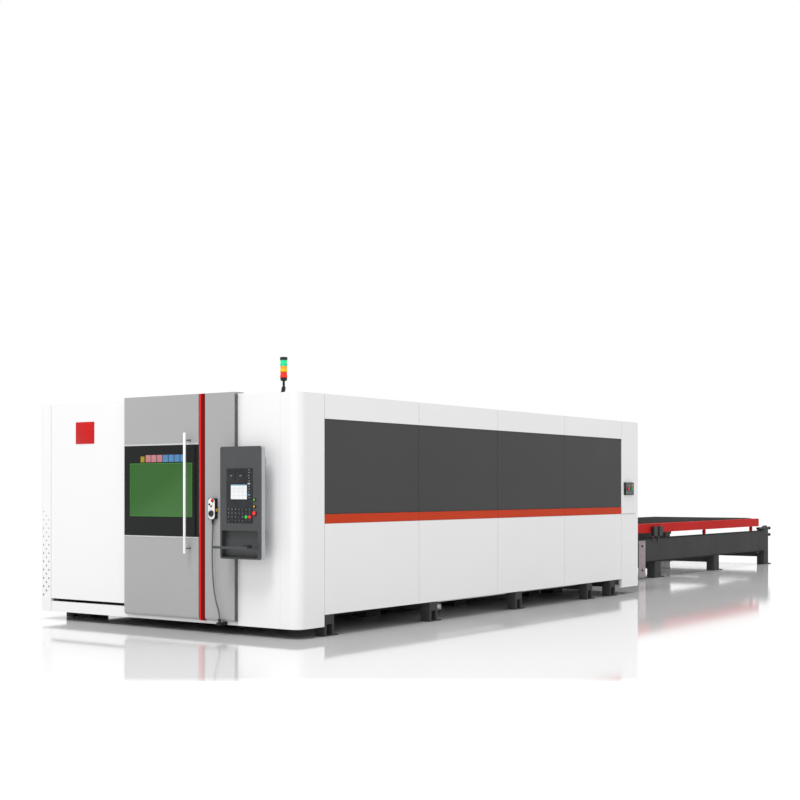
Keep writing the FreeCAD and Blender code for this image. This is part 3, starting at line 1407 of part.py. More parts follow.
def pallet_drive():
    """Drive shaft across the changer with its sprockets, and its gearbox and motor."""
    left, right = table_left + c.table_beam, table_right - c.table_beam
    at = (drive_back, drive_height)
    shaft = rod(c.shaft_radius, right - left - 2 * c.running_gap, (left + c.running_gap,) + at,
                AROUND_X)
    inner = c.lower_gap * 2 + c.lower_rail_width
    wheels = [prism(c.sprocket_teeth, c.sprocket_radius, c.sprocket_width, (low,) + at, AROUND_X)
              for low in (left + inner, right - inner - c.sprocket_width)]
    subpart("drive_shaft", fuse(shaft, *wheels))
    middle, reach, wide = (left + right) / 2, c.gearbox / 2, c.motor_width / 2
    bore = rod(c.shaft_radius + c.axle_gap, c.gearbox, (middle - reach,) + at, AROUND_X)
    gearbox = span((middle - reach, middle + reach),
                   (drive_back - reach, drive_back + reach),
                   (drive_height - reach, drive_height + reach))
    motor = span((middle - wide, middle + wide),
                 (drive_back - reach - c.motor_length, drive_back - reach),
                 (drive_height - wide, drive_height + wide))
    subpart("drive_motor", fuse(cut(gearbox, bore), motor))


cabin_frame()
front_column("left_column", -1, dots())
front_column("right_column", 1)
front_wall()
fixed_front()
door_track()
side_walls()
rear_walls()
roof()
operator_door()
door_window()
door_handle()
console()
keypad()
console_buttons()
console_tray()
pendant()
cable()
gland()
signal_tower()
side_station()
bed()
pedestals()
gantry()
cabinets()
pallets()
lift()
changer()
end_stops()
link_plates()
sensor_housings()
pallet_drive()

doc.recompute()
faults = [f"{o.Name} ({o.Label}): {o.State}" for o in doc.Objects
          if {"Invalid", "Error"} & set(o.State)]
for piece in PARTS:
    if piece.Shape.isNull() or not piece.Shape.isValid():
        faults.append(f"{piece.Label}: its shape is not sound")
if faults:
    raise RuntimeError("; ".join(faults))

os.makedirs("parts", exist_ok=True)
for piece in PARTS:
    piece.Shape.exportStep(f"parts/{piece.Label}.step")
print(len(PARTS), "sub-parts,", sum(len(p.Shape.Solids) for p in PARTS), "solids")
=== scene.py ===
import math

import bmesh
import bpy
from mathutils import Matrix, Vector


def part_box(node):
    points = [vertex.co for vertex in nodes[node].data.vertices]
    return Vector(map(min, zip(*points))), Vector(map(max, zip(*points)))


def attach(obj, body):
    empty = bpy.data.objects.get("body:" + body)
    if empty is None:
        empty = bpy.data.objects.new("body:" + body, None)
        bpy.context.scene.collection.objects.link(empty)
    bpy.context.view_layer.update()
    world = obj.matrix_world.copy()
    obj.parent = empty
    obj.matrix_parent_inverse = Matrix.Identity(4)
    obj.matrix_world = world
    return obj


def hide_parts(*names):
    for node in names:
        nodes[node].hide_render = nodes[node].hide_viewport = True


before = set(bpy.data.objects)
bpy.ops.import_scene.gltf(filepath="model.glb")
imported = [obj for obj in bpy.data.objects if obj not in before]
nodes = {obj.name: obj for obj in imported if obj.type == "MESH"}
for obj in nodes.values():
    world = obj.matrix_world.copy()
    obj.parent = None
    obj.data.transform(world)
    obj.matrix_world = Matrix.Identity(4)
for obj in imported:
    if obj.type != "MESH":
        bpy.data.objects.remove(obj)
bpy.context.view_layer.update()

# %% [markdown]
# # A fiber laser cutting machine
# A white sheet-metal cabin, 7.3 m long, with a sliding operator's door and a console at its
# front, and a pallet changer on legs behind it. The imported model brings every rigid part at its
# real size. This lesson adds a camera that matches the photograph, a pale floor with soft light,
# one material for each real finish, and the fine pieces that the solids leave out. All lengths
# are in metres.

FRONT = -7.583   # face of the front wall along Y
OUT, UP, RIGHT = (0, -1, 0), (0, 0, 1), (1, 0, 0)   # towards the operator, up and to the right
scene = bpy.context.scene


def back(millimetres):
    """Place along Y, counted from the face of the front wall towards the rear."""
    return FRONT + millimetres / 1000


def middle_of(low, high, axes="xz"):
    """Middle of a box along the named axes."""
    return tuple((getattr(low, axis) + getattr(high, axis)) / 2 for axis in axes)


def size_of(low, high, axes="xz"):
    """Extent of a box along the named axes."""
    return tuple(getattr(high, axis) - getattr(low, axis) for axis in axes)


# %% [markdown]
# ## Camera
# The photograph's upright edges stay parallel, so the camera was level and its lens was shifted
# upwards, as a cropped frame does. Its place follows from the vanishing points of the cabin's
# long edges.

# %% Camera
camera_data = bpy.data.cameras.new("photo_camera")
camera_data.sensor_width, camera_data.lens = 36, 60.57
camera_data.shift_y, camera_data.clip_end = 0.1121, 200
camera = bpy.data.objects.new("photo_camera", camera_data)
camera.location = (9.9995, -17.3267, 1.41974)
camera.rotation_euler = (math.pi / 2, 0, math.radians(35.546))
scene.collection.objects.link(camera)
scene.camera = camera
print("camera", tuple(round(v, 3) for v in camera.location))

# %% [markdown]
# ## Node helper and colours
# Real finishes are known by their look on screen, so colours are sRGB hex values, turned to the
# linear numbers that shaders use. One function adds a node with its settings and its links.
# Another ends a material, and every material below is built from the two.

# %% Colour and node helpers


def ink(text):
    """sRGB hex to a linear colour."""
    channels = [int(text[i:i + 2], 16) / 255 for i in (0, 2, 4)]
    linear = [c / 12.92 if c <= 0.04045 else ((c + 0.055) / 1.055) ** 2.4 for c in channels]
    return (*linear, 1.0)


def add(tree, kind, inputs=None, stops=(), **settings):
    """Add a node. A node links its first output, a pair (node, output) links that one, a list
    links several, and anything else is a constant. `stops` are a ramp's (place, colour)."""
    made = tree.nodes.new(kind)
    for name, value in settings.items():
        setattr(made, name, value)
    for number, (at, colour) in enumerate(stops):
        elements = made.color_ramp.elements
        element = elements[number] if number < len(elements) else elements.new(at)
        element.position, element.color = at, ink(colour)
    for name, value in (inputs or {}).items():
        for item in value if isinstance(value, list) else [value]:
            item = (item, 0) if isinstance(item, bpy.types.Node) else item
            if isinstance(item, tuple) and isinstance(item[0], bpy.types.Node):
                tree.links.new(item[0].outputs[item[1]], made.inputs[name])
            else:
                made.inputs[name].default_value = item
    return made


def new_material(name):
    """An empty material with object coordinates ready to use."""
    material = bpy.data.materials.new(name)
    material.use_nodes = True
    tree = material.node_tree
    tree.nodes.clear()
    return material, tree, (add(tree, "ShaderNodeTexCoord"), "Object")


def shade(tree, looks, height=None, strength=0.0, distance=0.0005):
    """End a material: the shader with its looks, over a bump if there is a height."""
    if height is not None:
        looks["Normal"] = add(tree, "ShaderNodeBump", {"Height": height, "Strength": strength,
                                                       "Distance": distance})
    shader = add(tree, "ShaderNodeBsdfPrincipled", looks)
    add(tree, "ShaderNodeOutputMaterial", {"Surface": shader})


def paint(name, colour, darker, rough, peel_mm=2.0, peel=0.04, mottle=0.35, coat=0.0, spec=0.25):
    """A coated surface: two close tones in clouds, orange peel and uneven gloss."""
    material, tree, place = new_material(name)
    clouds = add(tree, "ShaderNodeTexNoise", {"Vector": place, "Scale": mottle, "Detail": 4.0})
    tone = add(tree, "ShaderNodeValToRGB", {"Fac": clouds}, [(0.35, colour), (0.72, darker)])
    grain = add(tree, "ShaderNodeTexNoise", {"Vector": place, "Scale": 1000 / (peel_mm * 4),
                                             "Detail": 2.0})
    gloss = add(tree, "ShaderNodeMapRange", {"Value": clouds, "To Min": rough * 0.88,
                                             "To Max": rough * 1.15})
    shade(tree, {"Base Color": tone, "Roughness": gloss, "Coat Weight": coat,
                 "Coat Roughness": 0.12, "Specular IOR Level": spec}, grain, peel, 0.0006)
    return material


# %% [markdown]
# ## The hand control's cable
# A rubber-jacketed cable, 14 mm thick and a metre long, hangs from the hand control to a gland
# on the sill, nearly straight, with one lazy bend. A NURBS curve through a few route points
# gives one smooth line, and its bevel is the jacket. Soft rubber has no gloss, a trace of dust
# and a slightly uneven skin.

# %% Cable
CABLE_RADIUS = 0.007
CABLE_ROUTE = [(0.831, -7.653, 1.130), (0.831, -7.653, 1.060), (0.841, -7.675, 0.800),
               (0.855, -7.677, 0.520), (0.889, -7.675, 0.330), (0.939, -7.673, 0.215),
               (0.939, -7.673, 0.140)]
curve = bpy.data.curves.new("control_cable", "CURVE")
curve.dimensions, curve.use_fill_caps = "3D", True
curve.resolution_u, curve.bevel_depth, curve.bevel_resolution = 24, CABLE_RADIUS, 4
line = curve.splines.new("NURBS")
line.points.add(len(CABLE_ROUTE) - 1)
for point, at in zip(line.points, CABLE_ROUTE):
    point.co = (*at, 1.0)
line.order_u, line.use_endpoint_u = 3, True
cable = bpy.data.objects.new("control_cable", curve)
scene.collection.objects.link(cable)
rubber_jacket = paint("grey rubber cable jacket", "5F6163", "545658", 0.55, peel_mm=1.0,
                      peel=0.15, mottle=9.0)
curve.materials.append(rubber_jacket)
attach(cable, "base")
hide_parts("hand_control_cable")
print("cable points", len(CABLE_ROUTE))

# %% [markdown]
# ## Floor and light
# The machine stands on a white, glossy studio sheet that gives a faded mirror image below it.
# The sheet's near edge lies two and a half metres in front of the cabin's nearest corner, square
# to the view, and the floor before it is matt. The light is a pale surround with one soft lamp
# from above in front, which makes the front wall the brightest face and the long side darker.

# %% Floor
REACH = 60.0
VIEW_X, VIEW_Y, VIEW_START = -0.5814, 0.8136, 19.911   # metres away from the camera
SHEET_EDGE = (9.95, 10.20)
floor_mesh = bpy.data.meshes.new("studio_floor")
floor_mesh.from_pydata([(-REACH, -REACH, 0), (REACH, -REACH, 0), (REACH, REACH, 0),
                        (-REACH, REACH, 0)], [], [(0, 1, 2, 3)])
floor = bpy.data.objects.new("studio_floor", floor_mesh)
scene.collection.objects.link(floor)
white_floor, tree, place = new_material("polished white studio floor")
scuffs = add(tree, "ShaderNodeTexNoise", {"Vector": place, "Scale": 0.8, "Detail": 3.0})
gloss = add(tree, "ShaderNodeMapRange", {"Value": scuffs, "To Min": 0.05, "To Max": 0.09})
axes = add(tree, "ShaderNodeSeparateXYZ", {"Vector": place})
away = VIEW_START
for axis, share in (("X", VIEW_X), ("Y", VIEW_Y)):
    away = add(tree, "ShaderNodeMath", {0: (axes, axis), 1: share, 2: away},
               operation="MULTIPLY_ADD")
on_sheet = add(tree, "ShaderNodeMapRange", {"Value": away, "From Min": SHEET_EDGE[0],
                                            "From Max": SHEET_EDGE[1]})
polish = add(tree, "ShaderNodeMath", {0: on_sheet, 1: 0.9}, operation="MULTIPLY")
tone = add(tree, "ShaderNodeMixRGB", {"Fac": on_sheet, "Color1": ink("FFFFFF"),
                                      "Color2": ink("E8E8E8")})
shade(tree, {"Base Color": tone, "Roughness": gloss, "Specular IOR Level": polish})
floor_mesh.materials.append(white_floor)
print("floor", REACH * 2, "m across")

# %% Light
scene.view_settings.view_transform = "Standard"
scene.world = bpy.data.worlds.new("studio")
scene.world.use_nodes = True
surround = scene.world.node_tree.nodes["Background"].inputs
surround["Color"].default_value, surround["Strength"].default_value = (1, 1, 1, 1), 1.0
key_light = bpy.data.lights.new("key_softbox", "SUN")
key_light.energy, key_light.angle = 1.49, math.radians(20)
key = bpy.data.objects.new("key_softbox", key_light)
key.rotation_euler = Vector((-0.12, 1.0, -1.55)).to_track_quat("-Z", "Y").to_euler()
scene.collection.objects.link(key)
print("key light", key_light.energy)

# %% [markdown]
# ## Sheet metal finishes
# The cabin is folded steel sheet with a baked powder coat: an even tone, a faint orange peel
# about 2 mm wide, and a satin gloss. White, grey and dark grey differ only in pigment, so one
# recipe makes them all. The long dark panels are tinted sheet, smooth and a little glossy.

# %% Powder coats and lacquers
white_coat = paint("white powder coat", "E0E0E1", "DDDDDE", 0.34)
grey_coat = paint("mid grey powder coat", "9F9FA0", "9A9A9B", 0.36)
machine_coat = paint("dark grey machine enamel", "424243", "3C3C3D", 0.55, peel_mm=3.0, peel=0.08,
                     mottle=1.4, spec=0.06)
stripe_lacquer = paint("orange red lacquer", "BC3C1B", "B73717", 0.42, peel_mm=1.5, spec=0.08)
rail_lacquer = paint("signal red enamel", "B81F1C", "AE1B19", 0.50, peel_mm=2.5, peel=0.07,
                     mottle=1.0, spec=0.06)
console_coat = paint("dark console powder coat", "444546", "404142", 0.42, peel_mm=1.2,
                     mottle=3.0)
handle_coat = paint("white baked tube enamel", "ECECED", "E4E4E6", 0.22, peel_mm=1.0,
                    mottle=2.0, coat=0.4)
motor_coat = paint("black motor paint", "26282A", "1D1F21", 0.40, peel_mm=1.5, mottle=5.0)
window_sheet = paint("tinted smoke grey panel", "474748", "444445", 0.42, peel_mm=6.0,
                     peel=0.015, mottle=0.5, spec=0.06)
print("coats", len(bpy.data.materials))

# %% [markdown]
# ## The console's housing
# The console is a die-cast housing of two colours: a silver grey rear shell, and a dark front bezel
# that wraps the face plate and lines the niche. The silver grey seen on the shell's side is partly
# its paint and partly a painted highlight of that lit side. One material holds both, as one masked
# spray does, and chooses by depth from the face and by the niche's opening.

# %% Console housing
PAINT_LINE = 0.012
NICHE = (("X", 1.302, 0.2305), ("Z", 0.902, 0.1275))   # middle and half its opening
shell_low, shell_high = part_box("console_shell")
console_shell_paint_and_highlight, tree, place = new_material("two tone console housing, side partly painted highlight")
axes = add(tree, "ShaderNodeSeparateXYZ", {"Vector": place})
behind = add(tree, "ShaderNodeMath", {0: (axes, "Y"), 1: shell_low.y + PAINT_LINE},
             operation="GREATER_THAN")
wide, high = [add(tree, "ShaderNodeMath", {0: (axes, axis), 1: at, 2: half}, operation="COMPARE")
              for axis, at, half in NICHE]
in_niche = add(tree, "ShaderNodeMath", {0: wide, 1: high}, operation="MULTIPLY")
silver_and_highlight_mask = add(tree, "ShaderNodeMath", {0: behind, 1: in_niche}, operation="SUBTRACT",
             use_clamp=True)
cast = add(tree, "ShaderNodeTexNoise", {"Vector": place, "Scale": 3.0, "Detail": 4.0})
# the silver tone is partly paint, partly a painted highlight on the shell's side
dark_tone, silver_and_highlight_tone = [
    add(tree, "ShaderNodeValToRGB", {"Fac": cast}, [(0.35, colour), (0.72, darker)])
    for colour, darker in (("4A4B4C", "454647"), ("A9ABAD", "A1A3A5"))]
tone = add(tree, "ShaderNodeMixRGB", {"Fac": silver_and_highlight_mask, "Color1": dark_tone, "Color2": silver_and_highlight_tone})
grain = add(tree, "ShaderNodeTexNoise", {"Vector": place, "Scale": 200.0, "Detail": 2.0})
gloss = add(tree, "ShaderNodeMapRange", {"Value": cast, "To Min": 0.34, "To Max": 0.44})
shade(tree, {"Base Color": tone, "Roughness": gloss, "Specular IOR Level": 0.25}, grain, 0.05,
      0.0006)
print("housing", [round(v, 3) for v in shell_high - shell_low])

# %% [markdown]
# ## The red strip beside the door
# The strip is a rounded lacquered section of signal red. Its left half is a brighter red, a painted
# highlight, and its right half a deep wine red, painted shade where the rounded profile turns away
# from the light. The tone is set by the place across the strip.

# %% Red strip
strip_low, strip_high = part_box("red_strip")
red_strip_painted_light, tree, place = new_material("red lacquer strip with painted highlight and shade")
axes = add(tree, "ShaderNodeSeparateXYZ", {"Vector": place})
across = add(tree, "ShaderNodeMapRange", {"Value": (axes, "X"), "From Min": strip_low.x,
                                          "From Max": strip_high.x})
# painted highlight on the left half, painted shade on the right half
tone = add(tree, "ShaderNodeValToRGB", {"Fac": across}, [
    (0.0, "DC2220"), (0.34, "D41E1C"), (0.40, "720C0A"), (1.0, "680A08")])
peel = add(tree, "ShaderNodeTexNoise", {"Vector": place, "Scale": 160.0})
shade(tree, {"Base Color": tone, "Roughness": 0.28, "Specular IOR Level": 0.05}, peel, 0.03)
print("strip", round(strip_high.x - strip_low.x, 3), "m wide")

# %% [markdown]
# ## Acrylic band and laser glass
# A black acrylic band crosses the door and carries the laser glass, a polished dyed sheet that
# stops the invisible beam and lets the eye see in. Its green is painted lighter towards the lower
# right, a painted reflection of the lit hall.

# %% Acrylic and glass
acrylic = paint("black polished acrylic", "1A1B1B", "171818", 0.12, peel_mm=40.0, peel=0.01,
                spec=0.13)
glass_low, glass_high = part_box("laser_glass")
glass_middle, glass_size = middle_of(glass_low, glass_high), size_of(glass_low, glass_high)
dyed_glass, tree, place = new_material("green dyed laser glass")
axes = add(tree, "ShaderNodeSeparateXYZ", {"Vector": place})
right, down = [
    add(tree, "ShaderNodeMapRange", {"Value": (axes, axis), "From Min": start, "From Max": end})
    for axis, start, end in (("X", glass_low.x, glass_high.x), ("Z", glass_high.z, glass_low.z))]
painted_reflection_slope = add(tree, "ShaderNodeMath", {0: right, 1: down}, operation="ADD")
half = add(tree, "ShaderNodeMath", {0: painted_reflection_slope, 1: 0.5}, operation="MULTIPLY")
# painted reflection: the green grows lighter towards the lower right
tone = add(tree, "ShaderNodeValToRGB", {"Fac": half}, [
    (0.0, "2D5E23"), (0.45, "2F6025"), (0.62, "38682F"), (1.0, "416E37")])
waves = add(tree, "ShaderNodeTexNoise", {"Vector": place, "Scale": 6.0})
shade(tree, {"Base Color": tone, "Roughness": 0.08, "IOR": 1.49, "Transmission Weight": 0.12,
             "Specular IOR Level": 0.2}, waves, 0.02, 0.001)
print("glass", [round(v, 3) for v in glass_size])

# %% [markdown]
# ## Moulded plastics
# Buttons, the hand control, the tower and the small housings are moulded ABS or nylon with a
# fine spark-eroded grain and a soft gloss. The keypad is a polyester film printed with pale
# marks.

# %% Plastics
black_abs = paint("black moulded ABS", "232425", "1C1D1E", 0.45, peel_mm=0.8, peel=0.12,
                  mottle=20.0)
white_abs = paint("white moulded ABS", "E9E9E6", "DEDEDB", 0.40, peel_mm=0.8, peel=0.08,
                  mottle=20.0)
rubber = paint("black nitrile rubber", "2B2B2C", "202021", 0.62, peel_mm=1.5, peel=0.2,
               mottle=14.0)
keypad_film = paint("black polyester keypad film", "242628", "1D1F21", 0.35, peel_mm=0.6,
                    peel=0.08, mottle=12.0)
green_cap, yellow_cap, red_cap = [
    paint(f"{name} moulded cap", colour, darker, 0.28, peel_mm=0.6, mottle=30.0)
    for name, colour, darker in (("green", "1FA052", "188A45"), ("yellow", "E6B422", "D5A31B"),
                                 ("red", "CC2A22", "B8231C"))]
pale_print, blue_print = [
    paint(f"{name} screen print", colour, darker, 0.5, peel_mm=0.5, mottle=40.0)
    for name, colour, darker in (("pale", "A9AEB4", "9DA3AA"), ("blue", "6F95B8", "6288AC"))]
print("materials", len(bpy.data.materials))

# %% [markdown]
# ## Bare metals
# Ground steel rails, zinc-plated brackets and hot-rolled slats show their making: grinding
# lines along the rail, a cloudy warm zinc, and dark mill scale with heat marks on the slats.

# %% Metals


def metal(name, colour, darker, rough, lines, line_scale, depth=0.1, metallic=1.0):
    """Bare metal with marks stretched along one way; `lines` scales X, Y and Z."""
    material, tree, place = new_material(name)
    stretched = add(tree, "ShaderNodeMapping", {"Vector": place, "Scale": lines})
    marks = add(tree, "ShaderNodeTexNoise", {"Vector": stretched, "Scale": line_scale,
                                             "Detail": 6.0})
    tone = add(tree, "ShaderNodeValToRGB", {"Fac": marks}, [(0.35, colour), (0.68, darker)])
    gloss = add(tree, "ShaderNodeMapRange", {"Value": marks, "To Min": rough * 0.8,
                                             "To Max": rough * 1.25})
    shade(tree, {"Base Color": tone, "Roughness": gloss, "Metallic": metallic}, marks, depth)
    return material


ground_steel = metal("ground bright steel", "C9CBCE", "A9ABAE", 0.26, (1.0, 0.05, 1.0), 220.0)
zinc_plate = metal("zinc plated sheet", "94888B", "81767A", 0.42, (1.0, 1.0, 0.4), 26.0,
                   metallic=0.55)
mill_scale = metal("hot rolled slat steel", "3C3F41", "4E4A47", 0.55, (0.3, 1.0, 1.0), 60.0,
                   depth=0.25, metallic=0.6)
black_oxide = metal("blackened bolt steel", "303234", "232527", 0.40, (1.0, 1.0, 1.0), 300.0,
                    metallic=0.8)
# light tone of the band trims: a painted highlight of the door's chamfers
bright_trim_with_highlight = metal("bright band trim, painted highlight", "CBCDCF", "BCBEC1", 0.36, (0.05, 1.0, 1.0),
                        260.0, metallic=0.6)
print("metals done")

# %% [markdown]
# ## Signal lenses
# The tower has three dyed polycarbonate lenses: red below, amber, green above. A faint glow
# stands for the light that fills them. The thick flared foot of each lens has another tone than
# its thin upper part, so the tone repeats with the height of a lens.

# %% Lens materials
lens_low, lens_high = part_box("tower_lenses")
lens_height = (lens_high.z - lens_low.z - 0.012) / 3


def lens_plastic(name, upper, foot):
    """Dyed clear plastic, lit through: one tone for its foot and one above it."""
    material, tree, place = new_material(name)
    axes = add(tree, "ShaderNodeSeparateXYZ", {"Vector": place})
    share = add(tree, "ShaderNodeMath", {0: (axes, "Z"), 1: lens_low.z}, operation="SUBTRACT")
    share = add(tree, "ShaderNodeMath", {0: share, 1: lens_height}, operation="DIVIDE")
    share = add(tree, "ShaderNodeMath", {0: share}, operation="FRACT")
    tone = add(tree, "ShaderNodeValToRGB", {"Fac": share}, [(0.38, foot), (0.50, upper)])
    shade(tree, {"Base Color": tone, "Roughness": 0.2, "IOR": 1.58, "Emission Color": tone,
                 "Emission Strength": 0.2, "Specular IOR Level": 0.2})
    return material


LENSES = [lens_plastic("red dyed lens", "D0281C", "E4301A"),
          lens_plastic("amber dyed lens", "DC9A1A", "D0B21C"),
          lens_plastic("green dyed lens", "20D27E", "12C290")]
print("lenses", len(LENSES))

# %% [markdown]
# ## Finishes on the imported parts
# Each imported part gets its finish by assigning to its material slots. The shapes stay exactly
# as the solids made them.

# %% Assign the finishes


def finished(thing, finish):
    """Give a mesh one finish."""
    thing.materials.clear()
    thing.materials.append(finish)


FINISHES = {
    white_coat: ["left_column", "right_column", "front_panels", "side_lower_panels",
                 "side_headers", "rear_panels", "roof_panels", "gantry_beam", "laser_source"],
    grey_coat: ["operator_door", "fixed_front_panel", "electrical_cabinet"],
    machine_coat: ["cabin_frame", "machine_bed", "pedestals", "gantry_carriages",
                   "cross_carriage", "lift_rails", "changer_frame"],
    stripe_lacquer: ["side_stripes"],
    window_sheet: ["side_windows"],
    red_strip_painted_light: ["red_strip"],
    acrylic: ["door_band"],
    dyed_glass: ["laser_glass"],
    console_coat: ["console_face", "folding_tray"],
    console_shell_paint_and_highlight: ["console_shell"],
    keypad_film: ["console_keypad"],
    handle_coat: ["door_handle"],
    rail_lacquer: ["upper_pallet_frame", "lower_pallet_frame"],
    ground_steel: ["door_rail", "door_roller_left", "door_roller_right", "gantry_rails",
                   "head_slide", "cutting_head", "drive_shaft"],
    zinc_plate: ["link_plates"],
    mill_scale: ["upper_pallet_slats", "lower_pallet_slats"],
    motor_coat: ["drive_motor"],
    black_abs: ["pointing_device", "cable_gland", "tower_body", "side_station",
                "sensor_housings", "end_stops", "hand_dial", "console_screen", "hand_control"],
    green_cap: ["start_button", "station_start_button"],
    yellow_cap: ["pause_button", "hand_key"],
    red_cap: ["stop_button", "hand_stop_button", "station_stop_button"],
    LENSES[1]: ["tower_lenses"],
    rubber_jacket: ["hand_control_cable"],
}
for finish, names in FINISHES.items():
    for name in names:
        finished(nodes[name].data, finish)
missing = set(nodes) - {name for names in FINISHES.values() for name in names}
print("finished", len(nodes) - len(missing), "parts, missing:", sorted(missing))

# %% [markdown]
# ## Shape helpers
# Most small parts are turned, cut from plate, folded or moulded. So there are turned forms from
# a half outline, plates from closed lines, bevelled blocks, and skins lofted through rings. All
# are written straight in place, so every piece's object stays at the origin. A plate with holes
# is a triangle fill between several closed lines, pushed out and bevelled at its front edge.

# %% Mesh helpers


def piece(name, mesh, finish, slot, body="base", instead_of=None):
    """Show a mesh: its finish, the body it rides on, and the solid it stands for. Its slot is not
    used.
    """
    made = bpy.data.objects.new(name, mesh)
    mesh.name = name
    scene.collection.objects.link(made)
    if finish:
        finished(mesh, finish)
    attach(made, body)
    if instead_of:
        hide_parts(instead_of)
    return made


def to_mesh(made, at=(0, 0, 0), axis=None, smooth_angle=35):
    """A bmesh as a mesh with soft faces and sharp corners, turned to an axis and set down."""
    if axis:
        if axis[0] == axis[1] == 0:
            turn = Matrix.Rotation(0.0 if axis[2] > 0 else math.pi, 4, "X")
        else:
            turn = Vector(axis).to_track_quat("Z", "Y").to_matrix().to_4x4()
        made.transform(Matrix.Translation(at) @ turn)
    mesh = bpy.data.meshes.new("shape")
    made.to_mesh(mesh)
    made.free()
    mesh.shade_smooth()
    mesh.set_sharp_from_angle(angle=math.radians(smooth_angle))
    return mesh


def evaluated(made):
    """An object after its modifiers."""
    bpy.context.view_layer.update()
    return made.evaluated_get(bpy.context.evaluated_depsgraph_get())


def turned(outline, at, axis=UP, steps=32):
    """A closed turned mesh. `outline` is (radius, height) from the bottom up."""
    made = bmesh.new()
    rings = [[made.verts.new((radius * math.cos(math.tau * n / steps),
                              radius * math.sin(math.tau * n / steps), height))
              for n in range(steps if radius else 1)] for radius, height in outline]
    for low, high in zip(rings, rings[1:]):
        for n in range(steps):
            m = (n + 1) % steps
            made.faces.new(list(dict.fromkeys([low[n % len(low)], low[m % len(low)],
                                               high[m % len(high)], high[n % len(high)]])))
    for ring in (rings[0], rings[-1]):
        if len(ring) > 1:
            made.faces.new(ring)
    bmesh.ops.recalc_face_normals(made, faces=made.faces)
    return to_mesh(made, at, axis)


def blocks(boxes, bevel=0.001):
    """Several bevelled blocks in one mesh, each (low corner, high corner)."""
    made = bmesh.new()
    for low, high in boxes:
        low, high = Vector(low), Vector(high)
        fresh = bmesh.ops.create_cube(made, size=1)["verts"]
        bmesh.ops.scale(made, vec=high - low, verts=fresh)
        bmesh.ops.translate(made, vec=(high + low) / 2, verts=fresh)
    if bevel:
        bmesh.ops.bevel(made, geom=made.edges[:], offset=bevel, segments=2, profile=0.5,
                        affect="EDGES")
    return to_mesh(made)


def join(meshes):
    """Several meshes as one."""
    made = bmesh.new()
    for mesh in meshes:
        made.from_mesh(mesh)
    return to_mesh(made)


def lofted(rings, smooth_angle=35):
    """A closed skin through rings of points, from the bottom up."""
    made = bmesh.new()
    corners = [[made.verts.new(point) for point in ring] for ring in rings]
    for low, high in zip(corners, corners[1:]):
        for n in range(len(low)):
            m = (n + 1) % len(low)
            made.faces.new([low[n], low[m], high[m], high[n]])
    made.faces.new(corners[0])
    made.faces.new(corners[-1])
    bmesh.ops.recalc_face_normals(made, faces=made.faces)
    return to_mesh(made, smooth_angle=smooth_angle)


def rounded(width, height, radius, at=(0.0, 0.0), steps=6):
    """Points of a rounded rectangle, counter-clockwise."""
    points = []
    for turn, (x, y) in enumerate([(1, 1), (-1, 1), (-1, -1), (1, -1)]):
        middle = (at[0] + x * (width / 2 - radius), at[1] + y * (height / 2 - radius))
        for n in range(steps + 1):
            angle = math.pi / 2 * (turn + n / steps)
            points.append((middle[0] + radius * math.cos(angle),
                           middle[1] + radius * math.sin(angle)))
    return points


def circle(radius, at=(0.0, 0.0), steps=40):
    """Points of a circle, counter-clockwise."""
    return [(at[0] + radius * math.cos(math.tau * n / steps),
             at[1] + radius * math.sin(math.tau * n / steps)) for n in range(steps)]


def plate(lines, thick, at, axis=OUT, edge=0.0):
    """A plate cut to closed lines. Its back lies at `at` and its front faces `axis`."""
    made = bmesh.new()
    for line in lines:
        corners = [made.verts.new((x, y, 0)) for x, y in line]
        if len(lines) == 1:
            made.faces.new(corners)
        else:
            for first, second in zip(corners, corners[1:] + corners[:1]):
                made.edges.new((first, second))
    if len(lines) > 1:
        bmesh.ops.triangle_fill(made, edges=made.edges[:], use_beauty=True)
    lifted = bmesh.ops.extrude_face_region(made, geom=made.faces[:])
    raised = [item for item in lifted["geom"] if isinstance(item, bmesh.types.BMVert)]
    bmesh.ops.translate(made, vec=(0, 0, thick), verts=raised)
    bmesh.ops.recalc_face_normals(made, faces=made.faces)
    if edge:
        rim = [line for line in made.edges if line.calc_face_angle(0) > 1
               and all(corner.co.z > 0.9 * thick for corner in line.verts)]
        bmesh.ops.bevel(made, geom=rim, offset=edge, segments=2, profile=0.5, affect="EDGES")
    return to_mesh(made, at, axis)


print("helpers ready")

# %% [markdown]
# ## A tree helper for Geometry Nodes
# Whatever repeats is grown by Geometry Nodes: slats, filter cups, bolts and dial marks. Each
# tree has named inputs for its sizes. The helper sets them by their socket identifiers, takes
# the evaluated result as a plain mesh, and removes the modifier.

# %% Geometry Nodes helpers


def growing(name, sizes):
    """A tree with a geometry input and one named input for each size."""
    tree = bpy.data.node_groups.new(name, "GeometryNodeTree")
    for way in ("OUTPUT", "INPUT"):
        tree.interface.new_socket("Geometry", in_out=way, socket_type="NodeSocketGeometry")
    for label, value in sizes.items():
        kind = "NodeSocketInt" if isinstance(value, int) else "NodeSocketFloat"
        tree.interface.new_socket(label, in_out="INPUT", socket_type=kind).default_value = value
    tree.interface.new_socket("Finish", in_out="INPUT", socket_type="NodeSocketMaterial")
    return tree, add(tree, "NodeGroupInput")


def ripen(tree, source, geometry):
    """Realize the instances, set the finish and end the tree."""
    real = add(tree, "GeometryNodeRealizeInstances", {"Geometry": geometry})
    dressed = add(tree, "GeometryNodeSetMaterial", {"Geometry": real,
                                                    "Material": (source, "Finish")})
    add(tree, "NodeGroupOutput", {"Geometry": dressed})


